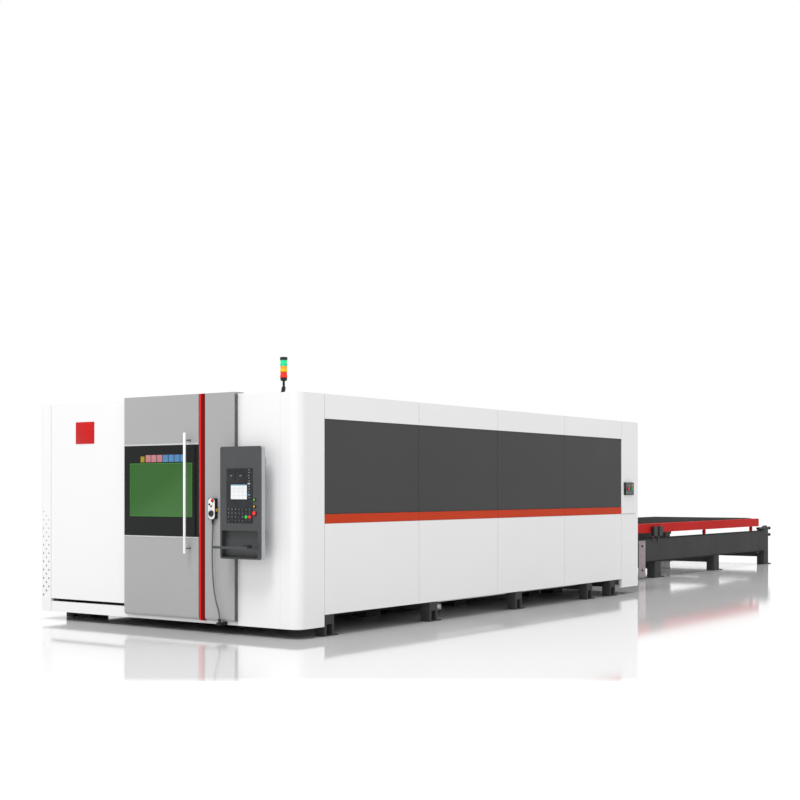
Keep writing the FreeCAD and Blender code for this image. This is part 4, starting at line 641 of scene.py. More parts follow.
def grow(name, tree, sizes, finish, body="base", seed=None):
    """Run a tree once and keep its result as a plain mesh piece."""
    made = bpy.data.objects.new(name, seed or bpy.data.meshes.new("seed"))
    scene.collection.objects.link(made)
    shape = made.modifiers.new("shape", "NODES")
    shape.node_group = tree
    values = sizes | {"Finish": finish}
    for item in tree.interface.items_tree:
        if item.in_out == "INPUT" and item.name in values:
            shape[item.identifier] = values[item.name]
    mesh = bpy.data.meshes.new_from_object(evaluated(made))
    made.modifiers.remove(shape)
    made.data = mesh
    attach(made, body)
    print(name, len(mesh.polygons), "faces")
    return made


def spots(places):
    """Loose points, each (place, facing, size), as the seed of a tree."""
    mesh = bpy.data.meshes.new("spots")
    mesh.from_pydata([at for at, _, _ in places], [], [])
    mesh.attributes.new("facing", "FLOAT_VECTOR", "POINT")
    mesh.attributes.new("size", "FLOAT", "POINT")
    for number, (_, way, size) in enumerate(places):
        mesh.attributes["facing"].data[number].vector = way
        mesh.attributes["size"].data[number].value = size
    return mesh


def on_points(tree, source, shape):
    """Stand a shape on every seed point, turned to its facing and scaled to its size."""
    way, size = [add(tree, "GeometryNodeInputNamedAttribute", {"Name": name}, data_type=kind)
                 for name, kind in (("facing", "FLOAT_VECTOR"), ("size", "FLOAT"))]
    turn = add(tree, "FunctionNodeAlignRotationToVector", {"Vector": way}, axis="Z")
    ripen(tree, source, add(tree, "GeometryNodeInstanceOnPoints", {
        "Points": (source, "Geometry"), "Instance": shape, "Rotation": turn, "Scale": size}))


def crowned(tree, shape, narrower, rise):
    """Inset the faces that look up, and push them out or in."""
    axes = add(tree, "ShaderNodeSeparateXYZ", {"Vector": add(tree, "GeometryNodeInputNormal")})
    upward = add(tree, "ShaderNodeMath", {0: (axes, "Z"), 1: 0.9}, operation="GREATER_THAN")
    inset = add(tree, "GeometryNodeExtrudeMesh", {"Mesh": shape, "Selection": upward,
                                                  "Offset Scale": 0.0})
    shrunk = add(tree, "GeometryNodeScaleElements", {
        "Geometry": inset, "Selection": (inset, "Top"), "Scale": narrower})
    return add(tree, "GeometryNodeExtrudeMesh", {"Mesh": shrunk, "Selection": (inset, "Top"),
                                                 "Offset Scale": rise})


print("tree helpers ready")

# %% [markdown]
# ## Toothed slats
# The pallets carry the sheet on rows of thin slats whose tops are cut to points 35 mm apart, so
# that the beam and the slag find little to hit. The tree bends a flat grid's top edge into
# teeth, gives it the sheet's thickness and repeats it along the pallet.

# %% Slat tree
slat_tree, source = growing("toothed_slats", {
    "Length": 1.96, "Height": 0.1, "Sheet": 0.005, "Teeth": 56, "Tooth": 0.018, "Count": 58,
    "Pitch": 0.104, "Left": 0.0, "First": 0.0, "Top": 0.0})
columns = add(slat_tree, "ShaderNodeMath", {0: (source, "Teeth"), 1: 2.0, 2: 1.0},
              operation="MULTIPLY_ADD")
grid = add(slat_tree, "GeometryNodeMeshGrid", {
    "Size X": (source, "Length"), "Size Y": (source, "Height"), "Vertices X": columns,
    "Vertices Y": 2})
number = add(slat_tree, "GeometryNodeInputIndex")
column = add(slat_tree, "ShaderNodeMath", {0: number, 1: 0.5}, operation="MULTIPLY")
column = add(slat_tree, "ShaderNodeMath", {0: column}, operation="FLOOR")
valley = add(slat_tree, "ShaderNodeMath", {0: column, 1: 2.0}, operation="MODULO")
drop = add(slat_tree, "ShaderNodeMath", {0: number, 1: 2.0}, operation="MODULO")
for times in (valley, (source, "Tooth"), -1.0):
    drop = add(slat_tree, "ShaderNodeMath", {0: drop, 1: times}, operation="MULTIPLY")
toothed = add(slat_tree, "GeometryNodeSetPosition", {
    "Geometry": grid, "Offset": add(slat_tree, "ShaderNodeCombineXYZ", {"Y": drop})})
thick = add(slat_tree, "GeometryNodeExtrudeMesh", {
    "Mesh": toothed, "Offset Scale": (source, "Sheet"), "Individual": False})
bottom = add(slat_tree, "GeometryNodeFlipFaces", {"Mesh": toothed})
whole = add(slat_tree, "GeometryNodeJoinGeometry", {"Geometry": [thick, bottom]})
whole = add(slat_tree, "GeometryNodeMergeByDistance", {"Geometry": whole, "Distance": 0.0001})
start = add(slat_tree, "ShaderNodeCombineXYZ", {
    "X": add(slat_tree, "ShaderNodeMath", {0: (source, "Length"), 1: 0.5, 2: (source, "Left")},
             operation="MULTIPLY_ADD"),
    "Y": add(slat_tree, "ShaderNodeMath", {0: (source, "First"), 1: (source, "Sheet")},
             operation="ADD"),
    "Z": add(slat_tree, "ShaderNodeMath", {0: (source, "Height"), 1: -0.5, 2: (source, "Top")},
             operation="MULTIPLY_ADD")})
row = add(slat_tree, "GeometryNodeMeshLine", {
    "Count": (source, "Count"), "Start Location": start,
    "Offset": add(slat_tree, "ShaderNodeCombineXYZ", {"Y": (source, "Pitch")})}, mode="OFFSET")
ripen(slat_tree, source, add(slat_tree, "GeometryNodeInstanceOnPoints", {
    "Points": row, "Instance": whole, "Rotation": (math.pi / 2, 0.0, 0.0)}))

# %% Slats on both pallets
for level in ("upper", "lower"):
    low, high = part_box(f"{level}_pallet_slats")
    slats = grow(f"{level}_slats_toothed", slat_tree, {
        "Length": high.x - low.x, "Height": high.z - low.z,
        "Teeth": round((high.x - low.x) / 0.035), "Left": low.x, "First": low.y,
        "Top": high.z}, mill_scale, f"{level}_pallet")
    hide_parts(f"{level}_pallet_slats")
    print(level, "slats end at", round(max(v.co.y for v in slats.data.vertices), 4),
          "solids end at", round(high.y, 4))

# %% [markdown]
# ## Plaque and tiles
# An enamelled plaque, hard and glossy, sits on the left front panel, and a row of small coloured
# tiles above the laser glass. Both places are kept plain. The tiles ride on the door.

# %% Plaque and tiles
plaque_enamel = paint("red vitreous enamel", "BC1013", "B40E11", 0.16, peel_mm=1.6, peel=0.03,
                      mottle=3.0, spec=0.2)
PLAQUE, PLAQUE_AT = (0.290, 0.234), (-1.0965, back(0), 2.0255)
piece("plaque", plate([rounded(*PLAQUE, 0.006)], 0.004, PLAQUE_AT, edge=0.0012), plaque_enamel,
      "red_paint")
TILE, FIRST_TILE = 0.073, (0.056, 0.060)
TILE_PITCH, TILE_FIRST, TILE_HEIGHT = 0.0822, -0.170, 1.736
band_low, band_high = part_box("door_band")
door_face = band_low.y
amber, rose, blue = [
    (paint(f"{name} anodised tile", colour, darker, 0.3, peel_mm=1.0, mottle=9.0), slot)
    for name, colour, darker, slot in (("amber", "948414", "8A7A10", "yellow_plastic"),
                                       ("rose", "AE7478", "A4696E", "red_plastic"),
                                       ("blue", "4A7BA8", "41719E", "white_plastic"))]
for number, looks in enumerate([amber, rose, rose, rose, blue, blue, blue, blue]):
    size = (TILE, TILE) if number else FIRST_TILE
    across = TILE_FIRST + TILE_PITCH * number
    piece(f"tile_{number}", plate([rounded(*size, 0.005)], 0.0015, (
        across, door_face, TILE_HEIGHT - (TILE - size[1]) / 2), edge=0.0005), *looks,
        "operator_door")
print("tiles from", TILE_FIRST, "to", round(across, 3))

# %% [markdown]
# ## Trims of the band and the glass's rim
# The acrylic band ends in two slim bright trims, whose light tone is a painted highlight of the
# door's chamfers above and below the band. The glass has a polished rim, and its brighter green is
# a painted highlight for the light that the rim gathers from within the sheet. Both are thin
# profiles of a constant section, so plates do.

# %% Trims
band_middle, band_size = middle_of(band_low, band_high), size_of(band_low, band_high)
UPPER_TRIM, LOWER_TRIM = 0.016, 0.012
# the trims' light tone is a painted highlight of the door's chamfers
for side, height, tall in (("upper", band_high.z + UPPER_TRIM / 2, UPPER_TRIM),
                           ("lower", band_low.z - LOWER_TRIM / 2, LOWER_TRIM)):
    piece(f"band_trim_{side}", plate([rounded(band_size[0], tall, 0.002)], 0.003,
                                     (band_middle[0], door_face, height), edge=0.001),
          bright_trim_with_highlight, "bright_steel", "operator_door")
# painted highlight: a brighter green for the light the rim gathers
glass_rim_painted_highlight = paint("green laser glass rim, painted highlight", "38772F", "34702B", 0.3, peel_mm=1.0, mottle=6.0,
                spec=0.2)
rim = plate([rounded(glass_size[0] + 0.009, glass_size[1] + 0.004, 0.006),
             rounded(glass_size[0] - 0.010, glass_size[1] - 0.014, 0.004)], 0.0015,
            (glass_middle[0] - 0.002, min(door_face, glass_low.y), glass_middle[1]), edge=0.0005)
piece("glass_rim", rim, glass_rim_painted_highlight, "laser_glass", "operator_door")
print("rim round", [round(v, 3) for v in glass_size])

# %% [markdown]
# ## The console's screen
# The screen is a lit liquid crystal panel behind glass: a white field with a blue bar on top and
# faint grey boxes, no words. The picture is drawn by nodes from the place on the panel, with a
# brick pattern for the boxes, and it glows because a screen is its own light.

# %% Screen
screen_low, screen_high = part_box("console_screen")
screen_size, screen_middle = size_of(screen_low, screen_high), middle_of(screen_low, screen_high)
lit_screen, tree, place = new_material("lit liquid crystal screen")
axes = add(tree, "ShaderNodeSeparateXYZ", {"Vector": place})
flat = add(tree, "ShaderNodeCombineXYZ", {"X": (axes, "X"), "Y": (axes, "Z")})
shifted = add(tree, "ShaderNodeMapping", {"Vector": flat,
                                          "Location": (-screen_low.x, -screen_low.z, 0.0)})
boxes = add(tree, "ShaderNodeTexBrick", {
    "Vector": shifted, "Color1": ink("F6F8FA"), "Color2": ink("EDF1F4"), "Mortar": ink("B9C1C8"),
    "Scale": 1.0, "Mortar Size": 0.0012, "Mortar Smooth": 0.4, "Brick Width": 0.052,
    "Row Height": 0.036}, offset=0.0)
bar = add(tree, "ShaderNodeMapRange", {
    "Value": (axes, "Z"), "From Min": screen_high.z - 0.0135, "From Max": screen_high.z - 0.012})
picture = add(tree, "ShaderNodeMixRGB", {"Fac": bar, "Color1": boxes, "Color2": ink("6E9CB8")})
shade(tree, {"Base Color": ink("101214"), "Roughness": 0.15, "Emission Color": picture,
             "Emission Strength": 0.95})
pad_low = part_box("console_keypad")[0]
piece("screen_panel", plate([rounded(screen_size[0] - 0.004, screen_size[1] - 0.004, 0.002)],
                            0.0008, (screen_middle[0], screen_low.y, screen_middle[1])),
      lit_screen, "screen_glass")
piece("screen_bezel", plate([rounded(screen_size[0] + 0.018, screen_size[1] + 0.018, 0.006),
                             rounded(screen_size[0] - 0.003, screen_size[1] - 0.003, 0.002)],
                            0.0025, (screen_middle[0], pad_low.y + 0.002, screen_middle[1]),
                            edge=0.0008), black_abs, "black_plastic")
print("screen", [round(v, 3) for v in screen_size])

# %% [markdown]
# ## Keys, ports and their marks
# The keypad is a printed film over domed keys. The marks are numbers and plain signs, made as
# text turned to thin mesh. Two covered ports sit above the screen, and a column of soft keys
# stands right of it. Two keys carry coloured round caps.

# %% Key marks
KEY_LEFT, KEY_BOTTOM, KEY_ACROSS, KEY_UP = 0.029, 0.0245, 0.045, 0.036
KEY_MARKS = ["<^v>+-*", "123.0  ", "456()/=", "789<>[]"]
key_face = pad_low.y


def sign(text, size, at, thick=0.0004):
    """A short printed mark as a thin mesh, centred at `at`, facing the operator."""
    words = bpy.data.curves.new("sign", "FONT")
    words.body, words.size, words.extrude = text, size, thick / 2
    words.align_x, words.align_y, words.resolution_u = "CENTER", "CENTER", 3
    holder = bpy.data.objects.new("sign", words)
    scene.collection.objects.link(holder)
    mesh = bpy.data.meshes.new_from_object(evaluated(holder))
    bpy.data.objects.remove(holder)
    made = bmesh.new()
    made.from_mesh(mesh)
    bmesh.ops.remove_doubles(made, verts=made.verts, dist=0.00002)
    return to_mesh(made, at, OUT)


def key_at(column, row, proud=0.0):
    """Middle of a key's face."""
    return (pad_low.x + KEY_LEFT + KEY_ACROSS * column, key_face - proud,
            pad_low.z + KEY_BOTTOM + KEY_UP * row)


marks = [[sign(letter, 0.020, key_at(column, row, 0.0001))
          for column, letter in enumerate(text) if letter != " "]
         for row, text in enumerate(KEY_MARKS)]
piece("key_marks", join(sum(marks[1:], [])), pale_print, "white_plastic")
piece("key_marks_blue", join(marks[0]), blue_print, "white_plastic")
print("key marks", sum(len(row) for row in marks))

# %% Coloured key caps, soft keys and ports
lit_green = paint("green translucent key cap", "22C94B", "1BBB42", 0.3, peel_mm=0.6, mottle=30.0)
lit_red = paint("red translucent key cap", "F0263A", "DE1E31", 0.3, peel_mm=0.6, mottle=30.0)
for column, name, finish, slot in ((5, "start_key_cap", lit_green, "green_plastic"),
                                   (6, "stop_key_cap", lit_red, "red_plastic")):
    piece(name, turned([(0.0165, 0.0), (0.0165, 0.002), (0.0155, 0.0032), (0.010, 0.0042),
                        (0.0, 0.0046)], key_at(column, 1), OUT), finish, slot)
SOFT_ACROSS, SOFT_SIZE, SOFT_PITCH, SOFT_FIRST = 1.4255, (0.036, 0.018), 0.0262, 1.3455
pad_face = key_face + 0.002
soft_heights = [SOFT_FIRST + SOFT_PITCH * number for number in range(11)]
piece("soft_keys", join([
    plate([rounded(*SOFT_SIZE, 0.003)], 0.0018, (SOFT_ACROSS, pad_face, height), edge=0.0006)
    for height in soft_heights]), black_abs, "keypad")
piece("soft_key_marks", join([
    plate([rounded(0.018, 0.0035, 0.001)], 0.0004, (
        SOFT_ACROSS - 0.003 * (number % 3 - 1), pad_face - 0.0018, height + 0.002 * (number % 2)))
    for number, height in enumerate(soft_heights)]), pale_print, "white_plastic")
for number, name, finish in ((5, "soft_key_white", pale_print), (1, "soft_key_blue", blue_print)):
    piece(name, plate([rounded(0.032, 0.013, 0.002)], 0.0006, (
        SOFT_ACROSS, pad_face - 0.0020, soft_heights[number]), edge=0.0002), finish,
        "white_plastic")
PORTS = ((1.2005, 1.553), (1.319, 1.553))
covers, sockets = [], []
for across, height in PORTS:
    covers += [plate([rounded(0.108, 0.112, 0.006)], 0.002, (across, pad_face, height - 0.002),
                     edge=0.0008),
               turned([(0.0026, -0.046), (0.0030, -0.044), (0.0030, 0.044), (0.0026, 0.046)],
                      (across, pad_face - 0.0022, height + 0.050), RIGHT, steps=16)]
    sockets.append(plate([rounded(0.020, 0.0085, 0.0015), rounded(0.014, 0.0045, 0.0008)],
                         0.0012, (across, pad_face - 0.002, height), edge=0.0004))
piece("port_covers", join(covers), keypad_film, "keypad")
piece("port_sockets", join(sockets), pale_print, "bright_steel")
print("soft keys", len(soft_heights), "ports", len(PORTS))

# %% [markdown]
# ## Button bezels and caps
# Each push button stands in a turned threaded ring that clamps it to the plate: a chamfered
# outside, a flat top and a clear bore, so the button slides in it. The stop buttons have
# mushroom heads. The others are black with a small domed lens in their middle. The domes ride
# on their own button.

# %% Bezels and domes
face_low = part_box("console_face")[0].y
hand_low, hand_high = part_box("hand_control")
hand_face = hand_low.y
glow_green, glow_yellow, glow_red = [
    paint(name, colour, darker, 0.25, peel_mm=0.5, mottle=30.0, coat=0.4)
    for name, colour, darker in (("green lens plastic", "6FBF45", "62AE3B"),
                                 ("yellow lens plastic", "D0AE44", "C2A03A"),
                                 ("red mushroom plastic", "F0281E", "DE2017"))]
BUTTONS = [("start_button", 0.0172, face_low, 0.74, glow_green, "green_plastic"),
           ("pause_button", 0.0172, face_low, 0.74, glow_yellow, "yellow_plastic"),
           ("stop_button", 0.0235, face_low, 1.0, glow_red, "red_plastic"),
           ("hand_stop_button", 0.0175, hand_face, 1.0, red_cap, "red_plastic")]
PLAY = 0.0006   # between a button and its ring
for name, outside, wall, share, finish, slot in BUTTONS:
    low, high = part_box(name)
    middle = (low + high) / 2
    bore = (high.x - low.x) / 2 + PLAY
    piece(f"{name}_bezel", turned([
        (bore, 0.0), (outside, 0.0), (outside, 0.0022), (outside - 0.0012, 0.0034),
        (bore + 0.0004, 0.0034), (bore, 0.0030), (bore, 0.0)], (middle.x, wall, middle.z), OUT),
        black_oxide, "black_plastic")
    head = (bore - PLAY) * share
    finished(nodes[name].data, black_abs if share < 1 else finish)
    piece(f"{name}_dome", turned([
        (head, -0.0005), (head, 0.0008), (head * 0.93, 0.0024), (head * 0.7, 0.0038),
        (head * 0.35, 0.0046), (0.0, 0.0048)], (middle.x, low.y, middle.z), OUT), finish, slot,
        name)
print("bezels", len(BUTTONS))

# %% [markdown]
# ## The hand control
# A hand control of this kind is a black rubber body with a white moulded front. The front is a
# plate with holes for the dial and the stop button. Two small rotary selectors and two lamps
# are turned.

# %% Hand control front
hand_middle, hand_size = middle_of(hand_low, hand_high), size_of(hand_low, hand_high)
DIAL, DIAL_RADIUS = (hand_middle[0], 1.186), 0.030
STOP = middle_of(*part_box("hand_stop_button"))
front = plate([rounded(hand_size[0] - 0.006, hand_size[1] - 0.004, 0.032, hand_middle, steps=10),
               circle(DIAL_RADIUS + 0.0015, DIAL, 60), circle(0.0180, STOP)], 0.003,
              (0, hand_face, 0), edge=0.0010)
piece("hand_control_front", front, white_abs, "white_plastic")
SELECTORS = ((-0.024, 1.276), (0.000, 1.257))
knobs = []
for across, height in SELECTORS:
    at = (hand_middle[0] + across, hand_face - 0.003, height)
    knobs += [turned([(0.0105, 0.0), (0.0105, 0.001), (0.0085, 0.0022), (0.0078, 0.008),
                      (0.0068, 0.0092), (0.0, 0.0092)], at, OUT),
              plate([rounded(0.0035, 0.019, 0.0015)], 0.0022, (at[0], at[1] - 0.0086, at[2]),
                    edge=0.0006)]
piece("hand_selectors", join(knobs), black_abs, "black_plastic")
for name, height, finish, slot in (("hand_lamp_green", 1.291, lit_green, "green_plastic"),
                                   ("hand_lamp_amber", 1.274, LENSES[0], "red_plastic")):
    piece(name, turned([(0.0046, 0.0), (0.0046, 0.0008), (0.0035, 0.0022), (0.0018, 0.0032),
                        (0.0, 0.0035)], (STOP[0], hand_face - 0.003, height), OUT, steps=20),
          finish, slot)
print("hand control", [round(v, 3) for v in hand_size])

# %% [markdown]
# ## Dial scale
# The dial is read against a scale of fine marks round its face. Geometry Nodes set one mark
# after another on a circle, each turned to the middle.

# %% Dial marks
mark_tree, source = growing("dial_marks", {"Radius": 0.024, "Marks": 25, "Long": 0.0045,
                                           "Wide": 0.0010, "High": 0.0006})
ring = add(mark_tree, "GeometryNodeMeshCircle", {"Vertices": (source, "Marks"),
                                                 "Radius": (source, "Radius")})
mark = add(mark_tree, "GeometryNodeMeshCube", {"Size": add(mark_tree, "ShaderNodeCombineXYZ", {
    "X": (source, "Long"), "Y": (source, "Wide"), "Z": (source, "High")})})
number = add(mark_tree, "GeometryNodeInputIndex")
share = add(mark_tree, "ShaderNodeMath", {0: number, 1: (source, "Marks")}, operation="DIVIDE")
angle = add(mark_tree, "ShaderNodeMath", {0: share, 1: math.tau}, operation="MULTIPLY")
turn = add(mark_tree, "ShaderNodeCombineXYZ", {"Z": angle})
scale = add(mark_tree, "GeometryNodeInstanceOnPoints", {"Points": ring, "Instance": mark,
                                                        "Rotation": turn})
ripen(mark_tree, source, add(mark_tree, "GeometryNodeTransform", {
    "Geometry": scale, "Rotation": (math.pi / 2, 0.0, 0.0),
    "Translation": (DIAL[0], hand_face - 0.0146, DIAL[1])}))
grow("hand_dial_marks", mark_tree, {}, pale_print, "hand_dial")

# %% [markdown]
# ## Strain reliefs of the cable
# Where the cable leaves the hand control a ribbed, tapered sleeve of black rubber stops it from
# kinking, and at the gland a domed nut clamps it. Both are turned round the cable's line.

# %% Strain relief and gland nut
relief = [(0.0112, 0.0), (0.0118, 0.004)]
for rib in range(6):
    low, radius = 0.006 + 0.0062 * rib, 0.0112 - 0.00045 * rib
    relief += [(radius - 0.0012, low), (radius, low + 0.0012), (radius, low + 0.0042),
               (radius - 0.0012, low + 0.0050)]
relief += [(0.0082, 0.046), (0.0076, 0.048), (0.0, 0.048)]
piece("strain_relief", turned(relief, CABLE_ROUTE[0], (0, 0, -1), steps=28), rubber,
      "black_plastic")
piece("gland_nut", turned([(0.0165, -0.002), (0.0165, 0.010), (0.0150, 0.014), (0.0105, 0.018),
                           (0.0082, 0.020), (0.0, 0.020)], CABLE_ROUTE[-1], steps=24), black_abs,
      "black_plastic")
print("relief 48 mm, nut 20 mm")

# %% [markdown]
# ## Signal tower
# The lenses are dyed tubes with a flared foot and fine moulded rings, stacked on a narrower
# black base. One turned outline serves all three, and each lens keeps its colour as its own
# material on one joined mesh. Base, cap and pole are turned too, and the knuckle is lofted.

# %% Lenses
tower_at = middle_of(lens_low, lens_high, "xy")
lens_radius = (lens_high.x - lens_low.x) / 2 + 0.002
outline = [(lens_radius - 0.002, 0.0), (lens_radius, 0.004), (lens_radius, 0.021),
           (lens_radius - 0.0045, 0.030)]
for rib in range(6):
    low = 0.031 + 0.0042 * rib
    outline += [(lens_radius - 0.0045, low), (lens_radius - 0.0036, low + 0.0014),
                (lens_radius - 0.0045, low + 0.0028)]
outline += [(lens_radius - 0.002, lens_height - 0.002), (lens_radius - 0.002, lens_height)]
tubes = [turned(outline, (*tower_at, lens_low.z + lens_height * number), steps=36)
         for number in range(3)]
for number, tube in enumerate(tubes):
    tube.polygons.foreach_set("material_index", [number] * len(tube.polygons))
lenses = piece("tower_lenses_moulded", join(tubes), None, "lens", instead_of="tower_lenses")
for finish in LENSES:
    lenses.data.materials.append(finish)
print("lens height", round(lens_height, 4))

# %% Tower base, cap, pole and elbow
tower_low, tower_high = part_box("tower_body")
x, y, roof = *tower_at, tower_low.z
tower_parts = [
    turned([(lens_radius - 0.001, -0.012), (lens_radius, -0.010), (lens_radius, 0.014),
            (lens_radius - 0.004, 0.0185), (0.012, 0.0200), (0.0, 0.0200)],
           (x, y, lens_high.z), steps=36),
    turned([(0.012, -0.006), (0.026, -0.004), (0.0315, 0.0), (0.0325, 0.004), (0.0325, 0.020),
            (0.0335, 0.023), (0.0335, 0.027), (0.0, 0.027)], (x, y, lens_low.z - 0.027),
           steps=36),
    turned([(0.0, 0.0), (0.0135, 0.0), (0.0135, 0.060), (0.0118, 0.064), (0.0118, 0.125),
            (0.0, 0.125)], (x, y, roof + 0.010), steps=24),
    blocks([((tower_low.x + 0.006, y - 0.017, roof),
             (tower_low.x + 0.044, y + 0.017, roof + 0.005)),
            ((x - 0.030, y - 0.013, roof + 0.004), (x - 0.004, y + 0.013, roof + 0.022))], 0.002),
    lofted([[(x + lean + along, y + deep, roof + height)
             for along, deep in rounded(wide, 0.030, 0.008)]
            for lean, wide, height in ((-0.014, 0.024, 0.020), (-0.003, 0.036, 0.042),
                                       (-0.002, 0.036, 0.058), (0.0, 0.028, 0.069))])]
piece("tower_pole_and_caps", join(tower_parts), black_abs, "black_plastic",
      instead_of="tower_body")
print("tower", round(tower_high.z - tower_low.z, 3), "m high")

# %% [markdown]
# ## Side station
# The small station on the rear column has a grey printed face with two holes inside a raised
# frame, and a few domed indicator lamps beside its two buttons.

# %% Station face
station_low, station_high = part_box("side_station")
station_middle = middle_of(station_low, station_high, "yz")
wide, tall = size_of(station_low, station_high, "yz")
at = (station_high.x, 0, 0)
station_film = paint("grey printed station film", "55565A", "4D4E52", 0.4, peel_mm=0.8,
                     mottle=12.0)
CAPS = (("station_stop_button", red_cap, "red_plastic"),
        ("station_start_button", green_cap, "green_plastic"))
holes = [circle((high.z - low.z) / 2 + 0.0012, middle_of(low, high, "yz"))
         for low, high in (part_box(name) for name, _, _ in CAPS)]
face = plate([rounded(wide - 0.020, tall - 0.016, 0.004, station_middle), *holes], 0.0012, at,
             RIGHT, edge=0.0004)
piece("station_face", face, station_film, "grey_plastic")
frame_plate = plate([rounded(wide - 0.002, tall - 0.002, 0.006, station_middle),
                     rounded(wide - 0.018, tall - 0.014, 0.004, station_middle)], 0.0035, at,
                    RIGHT, edge=0.0012)
piece("station_frame", frame_plate, black_abs, "black_plastic")
LAMPS = [("station_lamp_blue", 0.0, 0.034, blue_print, "white_plastic"),
         ("station_lamp_amber", 0.085, 0.048, LENSES[1], "yellow_plastic"),
         ("station_lamp_green", -0.085, -0.048, lit_green, "green_plastic")]
for name, along, up, finish, slot in LAMPS:
    piece(name, turned([(0.0105, 0.0), (0.0105, 0.0012), (0.0085, 0.0034), (0.0045, 0.0050),
                        (0.0, 0.0054)], (station_high.x, station_middle[0] + along,
                                         station_middle[1] + up), RIGHT, steps=24), finish, slot)
for name, finish, slot in CAPS:
    low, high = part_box(name)
    head = (high.z - low.z) / 2
    piece(f"{name}_dome", turned([
        (head + 0.0002, 0.0), (head + 0.0002, 0.003), (head * 0.9, 0.0042),
        (head * 0.5, 0.0050), (0.0, 0.0052)], (high.x - 0.0052, *middle_of(low, high, "yz")),
        RIGHT), finish, slot, name)
print("station", round(wide, 3), round(tall, 3))

# %% [markdown]
# ## The perforated column
# The left column is one folded box of sheet with a rounded corner, open below. It breathes
# through a field of round holes that grow towards the floor, in three staggered rows. It is
# carved as a press would do it: the outer form, minus its hollow, minus one punch for each hole.

# %% Column with its holes
SHEET = 0.003
HOLE_COLUMNS = [(-1.7679, 0.2707, 11), (-1.7222, 0.3162, 10), (-1.6809, 0.3617, 9)]
HOLE_PITCH, HOLE_LOW, HOLE_HIGH = 0.0910, 0.0125, 0.0070
column_low, column_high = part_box("left_column")


def carve(mesh, tools):
    """Cut tool meshes out of a mesh and keep the result."""
    made = [bpy.data.objects.new("cut", item) for item in (mesh, *tools)]
    for item in made:
        scene.collection.objects.link(item)
    for tool in made[1:]:
        cutter = made[0].modifiers.new("cut", "BOOLEAN")
        cutter.operation, cutter.solver, cutter.object = "DIFFERENCE", "EXACT", tool
    ready = evaluated(made[0])
    shape = bmesh.new()
    shape.from_mesh(ready.to_mesh())
    ready.to_mesh_clear()
    for item in made:
        bpy.data.objects.remove(item)
    return to_mesh(shape)


def ell(inset, radius=0.100, depth=0.040):
    """Plan of the column: a rounded corner with two legs, `inset` from its outside."""
    edge, side, length = column_high.x, column_low.x, column_high.y
    corner = (side + radius, column_low.y + radius)
    points = [(edge - inset, column_low.y + inset)]
    for ring, order in ((radius - inset, range(13)), (radius - depth + inset, range(12, -1, -1))):
        for n in order:
            angle = math.radians(270 - 7.5 * n)
            points.append((corner[0] + ring * math.cos(angle), corner[1] + ring * math.sin(angle)))
        if ring == radius - inset:
            points += [(side + inset, length - inset), (side + depth - inset, length - inset)]
    return points + [(edge - inset, column_low.y + depth - inset)]


holes = []
for across, first, count in HOLE_COLUMNS:
    for height in (first + HOLE_PITCH * number for number in range(count)):
        holes.append(((across, back(0), height), OUT,
                      HOLE_LOW + (HOLE_HIGH - HOLE_LOW) * ((height - 0.27) / 0.91)))
punches = [turned([(0.0, -0.006), (radius, -0.006), (radius, 0.003), (0.0, 0.003)], at, way,
                  steps=20) for at, way, radius in holes]
tall = column_high.z - column_low.z
column = carve(plate([ell(0.0)], tall, (0, 0, column_low.z), UP),
               [plate([ell(SHEET)], tall - SHEET + 0.01, (0, 0, column_low.z - 0.01), UP),
                join(punches)])
piece("perforated_column", column, white_coat, "white_paint", instead_of="left_column")
print("column", len(column.polygons), "faces,", len(holes), "holes")

# %% [markdown]
# ## Grey cups in the holes
# Behind each hole sits a grey cup whose colour is painted shade for the dark inside of the hole.
# Geometry Nodes place one cup on every point, turned to the wall and scaled by the hole's own
# radius.

# %% Grey cups in the holes
cup_tree, source = growing("hole_shade_cups", {"Rim": 1.02, "Throat": 0.84, "Deep": -0.35,
                                           "Sides": 20})
cup = add(cup_tree, "GeometryNodeMeshCylinder", {"Vertices": (source, "Sides"),
                                                 "Radius": (source, "Rim"), "Depth": 0.6})
cup = add(cup_tree, "GeometryNodeTransform", {"Geometry": cup, "Translation": (0.0, 0.0, -0.31)})
on_points(cup_tree, source, crowned(cup_tree, cup, (source, "Throat"), (source, "Deep")))
# painted shade: the grey stands for the dark inside of each hole
hole_painted_shade = paint("grey cup, painted shade in the holes", "9A9B9D", "88898B", 0.8, peel_mm=1.0, peel=0.4,
                    mottle=60.0)
grow("column_hole_shade_cups", cup_tree, {}, hole_painted_shade, seed=spots(holes))

# %% [markdown]
# ## Bolts
# The changer is bolted together and bolted to the floor, and covers are held by small socket
# screws. One tree makes both: a head with the wanted number of sides and a chamfered top on a
# washer. A hexagon gives a bolt, and a round head with a sunk middle gives a socket screw.

# %% Bolt tree
bolt_tree, source = growing("bolts", {"Sides": 6, "Head": 0.9, "Washer": 1.42, "Thick": 0.22,
                                      "Crown": 0.82, "Rise": 0.12})
washer = add(bolt_tree, "GeometryNodeMeshCylinder", {
    "Vertices": 24, "Radius": (source, "Washer"), "Depth": (source, "Thick")})
head = add(bolt_tree, "GeometryNodeMeshCylinder", {
    "Vertices": (source, "Sides"), "Radius": 1.0, "Depth": (source, "Head")})
lift = add(bolt_tree, "ShaderNodeMath", {0: (source, "Head"), 1: 0.5}, operation="MULTIPLY")
head = add(bolt_tree, "GeometryNodeTransform", {
    "Geometry": head, "Translation": add(bolt_tree, "ShaderNodeCombineXYZ", {"Z": lift})})
crown = crowned(bolt_tree, head, (source, "Crown"), (source, "Rise"))
on_points(bolt_tree, source, add(bolt_tree, "GeometryNodeJoinGeometry",
                                 {"Geometry": [crown, washer]}))
